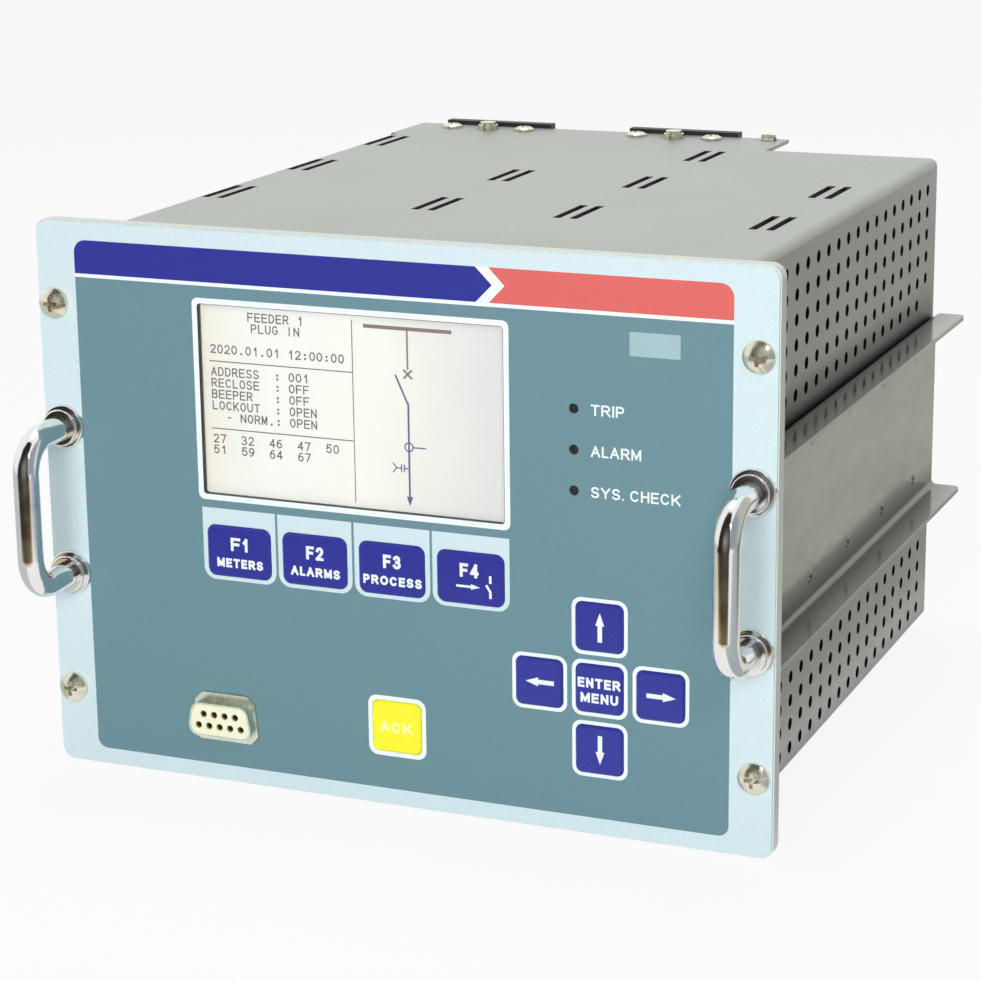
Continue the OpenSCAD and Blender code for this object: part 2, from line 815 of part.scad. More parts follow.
module service_shell() {
    color(steel) place() translate([dsub_x, 0, dsub_z]) difference() {
        union() {
            along_y(-dsub_reach, dsub_reach + plate_back) d_outline(dsub_w, dsub_h, dsub_r);
            along_y(-dsub_base_reach, dsub_base_reach + plate_back) base_outline(0);
            along_y(plate_back, dsub_flange_t) square([dsub_flange_w, base_h], center = true);
        }
        along_y(-dsub_reach - cut, dsub_reach + plate_back + dsub_flange_t + 2 * cut)
            d_outline(dsub_w - 2 * dsub_sheet, dsub_h - 2 * dsub_sheet, dsub_r - dsub_sheet);
    }
}

module contact_places() {
    for (row = [0, 1], i = [0 : 3 + row])
        translate([(i - (3 + row) / 2) * contact_pitch, (0.5 - row) * contact_row]) children();
}

module service_insert() {
    fit = dsub_sheet + tap_gap;
    color(cream) place() translate([dsub_x, 0, dsub_z]) difference() {
        along_y(tap_gap - dsub_reach, hmi_y + dsub_reach - tap_gap)
            d_outline(dsub_w - 2 * fit, dsub_h - 2 * fit, dsub_r - fit);
        along_y(-dsub_reach - cut, hmi_y + dsub_reach + 2 * cut) contact_places() circle(d = contact_d + 2 * contact_wall);
    }
}

module service_contacts() {
    mouth = 0.4 - dsub_reach;
    bore = 6;
    color(copper) place() translate([dsub_x, 0, dsub_z]) difference() {
        along_y(mouth, hmi_y - mouth) contact_places() circle(d = contact_d + 2 * contact_wall - 2 * tap_gap);
        along_y(mouth - cut, bore + cut) contact_places() circle(d = contact_d);
    }
}

// A round bar bent twice, with a tapped hole in each foot
module handle(side) {
    half = handle_pitch / 2;
    arm = handle_reach - handle_bend_r;
    tap_depth = 0.8 * arm;
    color(bright) place() translate([side * handle_x, 0, handle_z]) {
        for (sz = [-1, 1]) {
            difference() {
                rod_y(0, -arm, sz * half, bar_d, arm);
                rod_y(0, -tap_depth, sz * half, fix_d + 2 * tap_gap, tap_depth + cut);
            }
            translate([0, -arm, sz * (half - handle_bend_r)]) scale([1, 1, sz]) rotate([90, 0, -90])
                rotate_extrude(angle = 90) translate([handle_bend_r, 0]) circle(d = bar_d);
        }
        translate([0, -handle_reach, handle_bend_r - half]) cylinder(d = bar_d, h = handle_pitch - 2 * handle_bend_r);
    }
}

module left_handle() {
    handle(-1);
}

module right_handle() {
    handle(1);
}

module handle_ferrules() {
    bore = bar_d / 2 + tap_gap;
    edge = ferrule_t / 3;
    color(bright) place() handle_fit() rotate([90, 0, 0]) rotate_extrude() difference() {
        union() {
            square([ferrule_d / 2 - edge, ferrule_t]);
            square([ferrule_d / 2, ferrule_t - edge]);
            translate([ferrule_d / 2 - edge, ferrule_t - edge]) circle(edge);
            square([collar_d / 2 - edge, ferrule_t + collar_t]);
            square([collar_d / 2, ferrule_t + collar_t - edge]);
            translate([collar_d / 2 - edge, ferrule_t + collar_t - edge]) circle(edge);
        }
        square([bore, ferrule_t + collar_t + cut]);
    }
}

// The four handle feet as places on the foil's face
module handle_fit() {
    for (sx = [-1, 1], sz = [-1, 1])
        translate([sx * handle_x, 0, handle_z + sz * handle_pitch / 2]) children();
}

module handle_screws() {
    grip = 0.7 * (handle_reach - handle_bend_r);
    color(steel) place() handle_fit() translate([0, plate_back, 0]) rotate([-90, 0, 0])
        pan_screw(fix_d, fix_head_d, fix_head_h, plate_back + grip);
}

// A thin neck passes the plate and the thread starts at the plate's back
module mounting_screws() {
    color(bright) place() for (sx = [-1, 1], sz = [-1, 1])
        translate([sx * screw_x, 0, fixing_z + sz * screw_pitch / 2]) rotate([90, 0, 0]) {
            pan_screw(neck_share * screw_d, screw_head_d, screw_head_h, plate_back + cut);
            translate([0, 0, -plate_back - screw_reach]) cylinder(d = screw_d, h = screw_reach);
        }
}

module panel_screws() {
    color(steel) place()
        for (sx = [-1, 1], z = panel_screw_zs)
            translate([sx * flange_x, plate_back + sheet_t, z]) rotate([-90, 0, 0])
                pan_screw(fix_d, fix_head_d, fix_head_h, sheet_t + plate_t * 0.6);
}

// Closed section of the folded housing
module housing_section() {
    translate([0, housing_mid]) difference() {
        round_rect(housing_w, housing_h, bend_r);
        round_rect(housing_w - 2 * sheet_t, housing_h - 2 * sheet_t, bend_r - sheet_t);
    }
}

// Folded half of the housing between two heights, with its end flanges
module folded_half(z_low, z_high, flange_low, flange_high) {
    along_y(plate_back, housing_depth) intersection() {
        housing_section();
        translate([-housing_w, z_low]) square([2 * housing_w, z_high - z_low]);
    }
    for (sx = [-1, 1], y = [plate_back, rear_plate_y - sheet_t])
        along_y(y, sheet_t) translate([sx * (inner_x - flange_w / 2 + sheet_t / 4), (flange_low + flange_high) / 2])
            square([flange_w + sheet_t / 2, flange_high - flange_low], center = true);
}

// Vent holes through both side walls
module vents(z_first, rows, short_last) {
    for (column = [0 : vent_columns - 1], row = [0 : rows - 1])
        if (!(short_last && column == 0 && row == rows - 1))
            rod_x(-housing_w / 2 - cut, rear - vent_rear - column * vent_pitch_y, z_first - row * vent_pitch_z,
                  vent_d, housing_w + 2 * cut);
}

// Every pair of guide slots: the plane of its board and the middle of its length
module slot_places() {
    for (i = [0 : 3], row = slot_rows[i])
        translate([board_xs[i], rear - slot_rear - row * slot_pitch, 0]) children();
}

// Slots of a pair, cut through the sheet below the plane z
module slot_cut(z) {
    slot_places() for (sx = [-1, 1])
        translate([sx * slot_pair / 2 - slot_w / 2, -slot_l / 2, z - sheet_t - cut]) cube([slot_w, slot_l, sheet_t + 2 * cut]);
}

// Tabs folded out of the slots, one on each side of a card guide
module tabs(z, height) {
    tab_x = (slot_pair + slot_w) / 2;
    slot_places() for (sx = [-1, 1])
        translate([sx * (tab_x + sheet_t / 2) - sheet_t / 2, -slot_l / 2, z]) cube([sheet_t, slot_l, height]);
}

module flange_holes() {
    along_y(plate_back - cut, sheet_t + 2 * cut) panel_screw_places() circle(d = fix_d + 2 * screw_gap);
    along_y(rear_plate_y - sheet_t - cut, sheet_t + 2 * cut) rear_screw_places() circle(d = fix_d + 2 * tap_gap);
}

module rivet_rows() {
    span = (rivet_count - 1) * rivet_pitch;
    for (i = [0 : rivet_count - 1], z = [rail_z + rivet_inset, rail_z + rail_h - rivet_inset])
        translate([0, rail_y + rail_l / 2 - span / 2 + i * rivet_pitch, z]) children();
}

module rivet_holes() {
    rivet_rows() rod_x(-housing_w, 0, 0, rivet_d + 2 * tap_gap, 2 * housing_w);
}

module plug_fix_places() {
    for (x = [plug_left_x, plug_right_x], i = [-1 : 1])
        translate([x + plug_fix_shift + i * plug_fix_pitch, tongue_rear - plug_fix_inset, top]) children();
}

module top_cover() {
    color(sheet_grey) place() difference() {
        union() {
            folded_half(seam_z + seam_gap / 2, top + cut, seam_z + seam_gap / 2, top - bend_r);
            translate([-housing_w / 2, rear - sheet_t, inner_top])
                cube([housing_w / 2 + tongue_right, tongue_l + sheet_t, sheet_t]);
            tabs(inner_top - tab_h, tab_h + sheet_t / 2);
        }
        vents(top - upper_vent_drop, upper_rows, true);
        slot_cut(top);
        flange_holes();
        rivet_holes();
        plug_fix_places() translate([0, 0, -sheet_t - cut]) cylinder(d = fix_d + 2 * screw_gap, h = sheet_t + 2 * cut);
    }
}

module bottom_tray() {
    color(sheet_grey) place() difference() {
        union() {
            folded_half(housing_z - cut, seam_z - seam_gap / 2, housing_z + bend_r, seam_z - seam_gap / 2);
            tabs(inner_bottom - sheet_t / 2, tab_h + sheet_t / 2);
        }
        vents(housing_z + lower_vent_rise + (lower_rows - 1) * vent_pitch_z, lower_rows, false);
        slot_cut(inner_bottom);
        flange_holes();
        rivet_holes();
    }
}

// U channel with its open side out, on the right wall
module rail() {
    difference() {
        intersection() {
            along_y(rail_y, rail_l) translate([housing_w / 2 + rail_w, rail_z + rail_h / 2]) difference() {
                round_rect(2 * rail_w, rail_h, rail_bend_r);
                round_rect(2 * (rail_w - rail_t), rail_h - 2 * rail_t, rail_bend_r - rail_t);
            }
            translate([housing_w / 2, rail_y + rail_l / 2, rail_z - cut]) linear_extrude(rail_h + 2 * cut)
                round_rect(2 * rail_w, rail_l, rail_corner_r);
        }
        rivet_holes();
    }
}

module right_rail() {
    color(rail_grey) place() rail();
}

module left_rail() {
    color(rail_grey) place() mirror([1, 0, 0]) rail();
}

module rail_rivets() {
    web_x = housing_w / 2 + rail_t;
    bore_l = web_x + rivet_head_h - inner_x;
    color(steel) place() for (side = [0, 1]) mirror([side, 0, 0]) rivet_rows() difference() {
        union() {
            translate([web_x, 0, 0]) rotate([0, 90, 0]) cylinder(d1 = rivet_head_d, d2 = rivet_d, h = rivet_head_h);
            rod_x(inner_x, 0, 0, rivet_d, web_x - inner_x);
            rod_x(inner_x - rivet_head_h, 0, 0, rivet_head_d, rivet_head_h);
        }
        rod_x(inner_x, 0, 0, rivet_bore_d, bore_l + cut);
    }
}

module plug_places() {
    for (x = [plug_left_x, plug_right_x])
        translate([x, plug_z]) children();
}

module blade_places() {
    for (i = [0 : plug_columns - 1], j = [0 : plug_rows - 1])
        translate([(i - (plug_columns - 1) / 2) * blade_pitch, (j - (plug_rows - 1) / 2) * blade_pitch]) children();
}

module rear_plate() {
    wide = (plug_columns - 1) * blade_pitch + blade_w + 2 * rear_window_gap;
    tall = (plug_rows - 1) * blade_pitch + blade_t + 2 * rear_window_gap;
    color(sheet_grey) place() difference() {
        along_y(rear_plate_y, rear_t) translate([0, housing_mid])
            round_rect(2 * inner_x - 2 * rear_gap, housing_h - 2 * sheet_t - 2 * rear_gap, bend_r - sheet_t);
        along_y(rear_plate_y - cut, rear_t + 2 * cut) {
            plug_places() square([wide, tall], center = true);
            rear_screw_places() circle(d = fix_d + 2 * screw_gap);
        }
    }
}

module rear_screws() {
    color(steel) place()
        for (sx = [-1, 1], z = rear_screw_zs)
            translate([sx * flange_x, rear, z]) rotate([-90, 0, 0])
                pan_screw(fix_d, fix_head_d, fix_head_h, rear_t + sheet_t + 1);
}

// Plug body under the tongue, with a lip behind the tongue's edge
module plug(x) {
    color(black) place() difference() {
        union() {
            along_y(rear, plug_rear - rear) translate([x, plug_z]) square([plug_w, plug_h], center = true);
            translate([x - plug_w / 2, tongue_rear + plug_gap, plug_z])
                cube([plug_w, plug_overhang - plug_gap, plug_h / 2 + sheet_t + plug_lip]);
        }
        along_y(plug_rear - pocket_depth, pocket_depth + cut) translate([x, plug_z]) blade_places()
            square([pocket_w, pocket_h], center = true);
        along_y(rear - cut, plug_rear - rear) translate([x, plug_z]) blade_places()
            square([blade_w + 2 * blade_gap, blade_t + 2 * blade_gap], center = true);
        plug_fix_places() translate([0, 0, -sheet_t - plug_fix_depth])
            cylinder(d = fix_d + 2 * tap_gap, h = plug_fix_depth + cut);
    }
}

module left_plug() {
    plug(plug_left_x);
}

module right_plug() {
    plug(plug_right_x);
}

module plug_contacts() {
    color(copper) place() along_y(rear - blade_tail, plug_rear - blade_set - rear + blade_tail) plug_places()
        blade_places() square([blade_w, blade_t], center = true);
}

// Two pan heads and a tall round head in the middle of each row
module plug_screws() {
    reach = sheet_t + plug_fix_depth * 0.9;
    color(bright) place() for (x = [plug_left_x, plug_right_x])
        translate([x + plug_fix_shift, tongue_rear - plug_fix_inset, top]) {
            for (sx = [-1, 1])
                translate([sx * plug_fix_pitch, 0, 0]) pan_screw(fix_d, fix_head_d, plug_head_h, reach);
            cylinder(d = fix_head_d, h = middle_head_h * 0.6);
            cylinder(d = fix_head_d * 0.8, h = middle_head_h);
            translate([0, 0, -reach]) cylinder(d = fix_d, h = reach);
        }
}

// Sprung strip with a foot at each end and a raised middle
module earth_spring() {
    foot = spring_l / 4;
    ramp = spring_l / 6;
    crest = spring_rise - spring_t;
    outer = [[0, 0], [foot, 0], [foot + ramp, crest], [spring_l - foot - ramp, crest], [spring_l - foot, 0], [spring_l, 0],
             [spring_l, spring_t], [spring_l - foot + ramp / 2, spring_t], [spring_l - foot - ramp / 2, spring_rise],
             [foot + ramp / 2, spring_rise], [foot - ramp / 2, spring_t], [0, spring_t]];
    color(bright) place() translate([spring_x - spring_w / 2, tongue_rear - spring_l - plug_gap, top])
        rotate([90, 0, 90]) linear_extrude(spring_w) polygon(outer);
}

module spacer_places() {
    for (sx = [-1, 1], sz = [-1, 1])
        translate([sx * spacer_x, housing_mid + sz * (hmi_h / 2 - spacer_inset)]) children();
}

module operator_board() {
    color(green) place() along_y(hmi_y, pcb_t) translate([0, housing_mid]) round_rect(hmi_w, hmi_h, panel_corner_r);
}

module board_spacers() {
    color(bright) place() {
        along_y(plate_back, lcd_frame_depth) spacer_places() circle(d = spacer_d, $fn = 6);
        along_y(hmi_back, stack_gap) spacer_places() circle(d = spacer_d, $fn = 6);
    }
}

module board_header() {
    color(black) place() along_y(hmi_back, stack_gap) translate([0, housing_mid])
        square([header_w, header_h], center = true);
}

module bus_board() {
    color(green) place() along_y(bus_y, pcb_t) translate([0, housing_mid])
        round_rect(2 * (inner_x - bus_gap), hmi_h, panel_corner_r);
}

module card_sockets() {
    color(black) place() difference() {
        along_y(bus_back, socket_depth) for (x = board_xs)
            translate([x, board_mid]) square([socket_w, socket_h + 2 * socket_grip], center = true);
        along_y(board_front - 2 * groove_gap, socket_depth) for (x = board_xs)
            translate([x, board_mid]) square([pcb_t + 2 * groove_gap, socket_h + 2 * groove_gap], center = true);
    }
}

// Grooved guide under the slots, its groove open downwards
module guide_section() {
    difference() {
        translate([-guide_w / 2, -guide_h]) square([guide_w, guide_h]);
        translate([-pcb_t / 2 - groove_gap, -guide_h - cut]) square([pcb_t + 2 * groove_gap, groove_depth + cut]);
    }
}

module upper_guides() {
    color(black) place() along_y(guide_y, guide_back - guide_y) for (x = board_xs)
        translate([x, inner_top]) guide_section();
}

module lower_guides() {
    color(black) place() along_y(guide_y, guide_back - guide_y) for (x = board_xs)
        translate([x, inner_bottom]) mirror([0, 1]) guide_section();
}

// Upright board with a narrower edge that enters its socket
module card(x) {
    shoulder = socket_back + groove_gap;
    color(green) place() {
        translate([x - pcb_t / 2, shoulder, board_z]) cube([pcb_t, board_back - shoulder, board_h]);
        translate([x - pcb_t / 2, board_front, board_mid - socket_h / 2]) cube([pcb_t, socket_grip + cut, socket_h]);
    }
}

module analog_board() {
    card(analog_x);
}

module io_board() {
    card(io_x);
}

module processor_board() {
    card(cpu_x);
}

module power_board() {
    card(power_x);
}

// Places on a board, from its middle along Y and Z; side is the face they stand on
module on_board(x, y, z, side) {
    translate([x + side * pcb_t / 2, (socket_back + board_back) / 2 + y, board_mid + z]) children();
}

module current_transformers() {
    color(black) place() for (i = [0 : ct_count - 1])
        on_board(analog_x, ct_w / 2 + part_gap, (i - (ct_count - 1) / 2) * ct_pitch, 1) difference() {
            translate([0, -ct_w / 2, -ct_w / 2]) cube([ct_h, ct_w, ct_w]);
            translate([ct_h / 2, -ct_w, 0]) rotate([-90, 0, 0]) cylinder(d = ct_bore_d, h = 2 * ct_w);
        }
}

// Laminated core with a wider winding around its middle
module voltage_transformers() {
    winding = 0.6;
    color(steel) place() for (i = [0 : vt_count - 1])
        on_board(analog_x, -vt_w / 2 - part_gap, (i - (vt_count - 1) / 2) * ct_pitch, 1) {
            translate([0, -vt_w / 2, -vt_w * winding / 2]) cube([vt_h, vt_w, vt_w * winding]);
            translate([0, -vt_w * winding / 2, -vt_w / 2]) cube([vt_h * 0.85, vt_w * winding, vt_w]);
        }
}

module output_relays() {
    color(cream) place() for (sy = [-1, 1], i = [0 : relay_rows - 1])
        on_board(io_x, sy * (relay_l / 2 + part_gap), (i - (relay_rows - 1) / 2) * relay_pitch, 1)
            translate([0, -relay_l / 2, -relay_w / 2]) cube([relay_h, relay_l, relay_w]);
}

// Main chip in the middle of the board and three smaller ones in a row behind it
module processor_chips() {
    small = chip_w / 2;
    color(black) place() {
        on_board(cpu_x, 0, 0, 1) translate([0, -chip_w / 2, -chip_w / 2]) cube([chip_h, chip_w, chip_w]);
        for (i = [-1 : 1])
            on_board(cpu_x, (chip_w + small) / 2 + part_gap, i * (small + part_gap), 1) translate([0, -small / 2, -small / 2])
                cube([chip_h * 0.7, small, small]);
    }
}

module backup_battery() {
    color(bright) place() on_board(cpu_x, -(chip_w + battery_d) / 2 - part_gap, battery_d, 1) {
        rotate([0, 90, 0]) cylinder(d = battery_d, h = battery_h * 0.7);
        rotate([0, 90, 0]) cylinder(d = battery_d * 0.85, h = battery_h);
    }
}

module power_transformer() {
    winding = 0.62;
    color(steel) place() on_board(power_x, power_w / 2 + part_gap, power_mid, -1) {
        translate([-power_h, -power_w / 2, -power_w * winding / 2]) cube([power_h, power_w, power_w * winding]);
        translate([-power_h * 0.88, -power_w * winding / 2, -power_w / 2]) cube([power_h * 0.88, power_w * winding, power_w]);
    }
}

module bulk_capacitors() {
    color(black) place() for (i = [0 : cap_count - 1])
        on_board(power_x, -cap_d / 2 - part_gap, power_mid + (i - (cap_count - 1) / 2) * (cap_d + part_gap), -1)
            rotate([0, -90, 0])
                cylinder(d = cap_d, h = cap_h);
}

// Flat base on the board with upright fins
module heat_sink() {
    base_t = 3;
    fin_t = 1.6;
    step = (sink_w - fin_t) / (sink_fins - 1);
    sink_z = inner_top - guide_h - part_gap - sink_w / 2 - board_mid;
    color(plate_grey) place() on_board(power_x, 0, sink_z, -1)
        translate([0, -sink_l / 2, -sink_w / 2]) {
            translate([-base_t, 0, 0]) cube([base_t, sink_l, sink_w]);
            for (i = [0 : sink_fins - 1])
                translate([-sink_h, 0, i * step]) cube([sink_h, sink_l, fin_t]);
        }
}

front_overlay();
front_plate();
display_window();
display_bezel();
display_glass();
display_frame();
f1_key();
f2_key();
f3_key();
f4_key();
up_key();
left_key();
enter_key();
right_key();
down_key();
ack_key();
key_switches();
trip_lamp();
alarm_lamp();
check_lamp();
service_shell();
service_insert();
service_contacts();
left_handle();
right_handle();
handle_ferrules();
handle_screws();
mounting_screws();
panel_screws();
top_cover();
bottom_tray();
left_rail();
right_rail();
rail_rivets();
rear_plate();
rear_screws();
left_plug();
right_plug();
plug_contacts();
plug_screws();
earth_spring();
operator_board();
board_spacers();
board_header();
bus_board();
card_sockets();
upper_guides();
lower_guides();
analog_board();
io_board();
processor_board();
power_board();
current_transformers();
voltage_transformers();
output_relays();
processor_chips();
backup_battery();
power_transformer();
bulk_capacitors();
heat_sink();
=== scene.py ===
import json
import math

import bpy
from mathutils import Matrix, Vector


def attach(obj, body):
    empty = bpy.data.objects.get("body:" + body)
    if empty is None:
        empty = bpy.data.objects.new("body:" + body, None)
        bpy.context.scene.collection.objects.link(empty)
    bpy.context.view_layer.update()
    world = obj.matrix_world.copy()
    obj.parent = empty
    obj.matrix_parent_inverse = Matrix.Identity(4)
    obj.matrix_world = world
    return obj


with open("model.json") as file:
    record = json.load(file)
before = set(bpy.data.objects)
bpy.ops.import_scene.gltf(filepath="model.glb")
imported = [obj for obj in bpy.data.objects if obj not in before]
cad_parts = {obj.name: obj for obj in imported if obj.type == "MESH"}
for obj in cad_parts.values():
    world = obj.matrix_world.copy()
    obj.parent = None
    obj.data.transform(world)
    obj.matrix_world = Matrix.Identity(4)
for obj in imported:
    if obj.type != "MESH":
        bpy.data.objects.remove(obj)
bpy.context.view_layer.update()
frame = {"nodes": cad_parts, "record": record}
nodes = frame["nodes"]
scene = bpy.context.scene
scene.view_settings.view_transform = "Standard"

# Sizes below are in millimetres: X to the right, Y back from the foil's face, Z up from the panel's lower edge.
MID_Y = 89.0
MM = 0.001
# The display's window: left, low, right and high edge
WINDOW = (-48.2, 70.5, 27.2, 115.3)


def lin(r, g, b):
    """Linear colour of a screen colour given as 0 to 255."""
    def one(c):
        c /= 255
        return c / 12.92 if c <= 0.04045 else ((c + 0.055) / 1.055) ** 2.4
    return (one(r), one(g), one(b), 1.0)


def scaled(colour, k):
    return tuple(min(c * k, 1.0) for c in colour[:3]) + (1.0,)


# Materials

# Part of a noise's range that its ramps use, for the fine grain and for the blotches
GRAIN_LOW, GRAIN_HIGH = 0.3, 0.7
CLOUD_LOW, CLOUD_HIGH = 0.35, 0.65
# Housing inside, painted near black as shade: half the section's straight sides, its middle height, the bends' radius
# and the shade's ends
STRAIGHT_X, STRAIGHT_Z, SECTION_Z, BEND = 77.0, 61.1, 66.3, 1.93
SHADE_REAR, SHADE_TOP = 172.6, 128.55
# Near-black painted shade for faces inside the housing
INSIDE_SHADE = (0.004, 0.004, 0.004, 1)


def material(name, colour, rough, vary=0.05, grain=900, bump=0.0, bump_grain=4000, stretch=(1, 1, 1),
             blotch=0.0, blotch_grain=22, spread=0.06, shade_inside=False, corners=0.0, **sockets):
    """Fine grain and larger blotches in the colour, grain in the roughness and a bump of that height in metres.

    The faces inside the housing can be painted near black, as painted shade. Corners is the reach, in metres, of the
    painted shade that ambient occlusion lays into inner corners.
    """
    m = bpy.data.materials.new(name)
    m.use_nodes = True
    tree = m.node_tree
    shader = tree.nodes["Principled BSDF"]
    for socket, value in sockets.items():
        shader.inputs[socket.replace("_", " ")].default_value = value

    def node(kind, **values):
        n = tree.nodes.new("ShaderNode" + kind)
        for key, value in values.items():
            n.inputs[key].default_value = value
        return n

    def link(a, b):
        tree.links.new(a, b)

    def product(a, b):
        mix = node("Mix")
        mix.data_type = "RGBA"
        mix.blend_type = "MULTIPLY"
        mix.inputs["Factor"].default_value = 1
        link(a, mix.inputs[6])
        link(b, mix.inputs[7])
        return mix.outputs[2]

    place = node("Mapping", Scale=stretch)
    link(node("TexCoord").outputs["Object"], place.inputs["Vector"])

    def noise(scale, detail):
        n = node("TexNoise", Scale=scale, Detail=detail)
        link(place.outputs["Vector"], n.inputs["Vector"])
        return n.outputs["Fac"]

    fine = noise(grain, 3)
    ramp = node("ValToRGB")
    low, high = ramp.color_ramp.elements
    low.position, high.position = GRAIN_LOW, GRAIN_HIGH
    low.color, high.color = scaled(colour, 1 - vary), scaled(colour, 1 + vary)
    link(fine, ramp.inputs["Fac"])
    paint = ramp.outputs["Color"]
    if blotch:
        cloud = node("ValToRGB")
        low, high = cloud.color_ramp.elements
        low.position, high.position = CLOUD_LOW, CLOUD_HIGH
        low.color, high.color = (1 - blotch, 1 - blotch, 1 - blotch, 1), (1, 1, 1, 1)
        link(noise(blotch_grain, 5), cloud.inputs["Fac"])
        paint = product(paint, cloud.outputs["Color"])
    # Painted shade: ambient occlusion darkens the colour in inner corners
    if corners:
        corner_shade = node("AmbientOcclusion", Distance=corners)
        corner_shade.samples = 6
        link(paint, corner_shade.inputs["Color"])
        paint = product(corner_shade.outputs["Color"], corner_shade.outputs["AO"])
    # Painted shade: faces inside the housing turn near black
    if shade_inside:
        paint = shaded_inside(tree, paint)
    link(paint, shader.inputs["Base Color"])
    gloss = node("MapRange")
    gloss.inputs["From Min"].default_value = GRAIN_LOW
    gloss.inputs["From Max"].default_value = GRAIN_HIGH
    gloss.inputs["To Min"].default_value = max(rough - spread, 0.02)
    gloss.inputs["To Max"].default_value = min(rough + spread, 1.0)
    link(fine, gloss.inputs["Value"])
    link(gloss.outputs["Result"], shader.inputs["Roughness"])
    if bump:
        relief = node("Bump", Strength=1.0, Distance=bump)
        link(noise(bump_grain, 2), relief.inputs["Height"])
        link(relief.outputs["Normal"], shader.inputs["Normal"])
    return m


def shaded_inside(tree, paint):
    """The paint, turned near black as painted shade where a point lies inside the housing's walls."""
    axes = tree.nodes.new("ShaderNodeSeparateXYZ")
    tree.links.new(tree.nodes.new("ShaderNodeTexCoord").outputs["Object"], axes.inputs["Vector"])

    def math_node(kind, a, b):
        n = tree.nodes.new("ShaderNodeMath")
        n.operation = kind
        for socket, value in zip(n.inputs, (a, b)):
            if isinstance(value, float):
                socket.default_value = value
            else:
                tree.links.new(value, socket)
        return n.outputs["Value"]

    # Distance past the straight sides of the section
    past = []
    for axis, middle, half in (("X", 0.0, STRAIGHT_X), ("Z", SECTION_Z, STRAIGHT_Z)):
        off = math_node("ABSOLUTE", math_node("SUBTRACT", axes.outputs[axis], middle * MM), 0.0)
        over = math_node("MAXIMUM", math_node("SUBTRACT", off, half * MM), 0.0)
        past.append(math_node("MULTIPLY", over, over))
    inside = math_node("LESS_THAN", math_node("ADD", *past), (BEND * MM) ** 2)
    for axis, limit in (("Y", SHADE_REAR - MID_Y), ("Z", SHADE_TOP)):
        inside = math_node("MULTIPLY", inside, math_node("LESS_THAN", axes.outputs[axis], limit * MM))
    mix = tree.nodes.new("ShaderNodeMix")
    mix.data_type = "RGBA"
    mix.inputs[7].default_value = INSIDE_SHADE
    tree.links.new(inside, mix.inputs["Factor"])
    tree.links.new(paint, mix.inputs[6])
    return mix.outputs[2]


INK = dict(rough=0.5, vary=0.035, grain=2600, bump=4e-6, bump_grain=5200, Specular_IOR_Level=0.18)
foil = material("foil", lin(211, 231, 235), **INK)
ink_field = material("ink_field", lin(108, 143, 153), **INK)
ink_blue = material("ink_blue", lin(48, 52, 151), **INK)
ink_red = material("ink_red", lin(222, 107, 102), **INK)
ink_white = material("ink_white", lin(240, 250, 254), **INK)
ink_pale = material("ink_pale", lin(209, 230, 236), **INK)
ink_patch = material("ink_patch", lin(164, 193, 199), **INK)
key_blue = material("key_blue", lin(45, 50, 150), 0.26, vary=0.025, grain=2600, bump=1e-7, bump_grain=3000,
                    spread=0.015, Specular_IOR_Level=0.4)
key_yellow = material("key_yellow", lin(253, 248, 48), 0.28, vary=0.02, grain=2600, bump=1e-6, bump_grain=3000,
                      Specular_IOR_Level=0.35)
LEGEND = dict(rough=0.45, vary=0.03, grain=2600, Specular_IOR_Level=0.2)
key_white = material("key_white", lin(240, 248, 252), **LEGEND)
ack_white = material("ack_white", lin(255, 254, 178), **LEGEND)
LCD_INK = dict(rough=0.6, vary=0.08, grain=3000, Specular_IOR_Level=0.1)
lcd_dark = material("lcd_dark", lin(92, 82, 80), **LCD_INK)
lcd_brown = material("lcd_brown", lin(128, 104, 98), **LCD_INK)
lcd_violet = material("lcd_violet", lin(80, 68, 128), **LCD_INK)

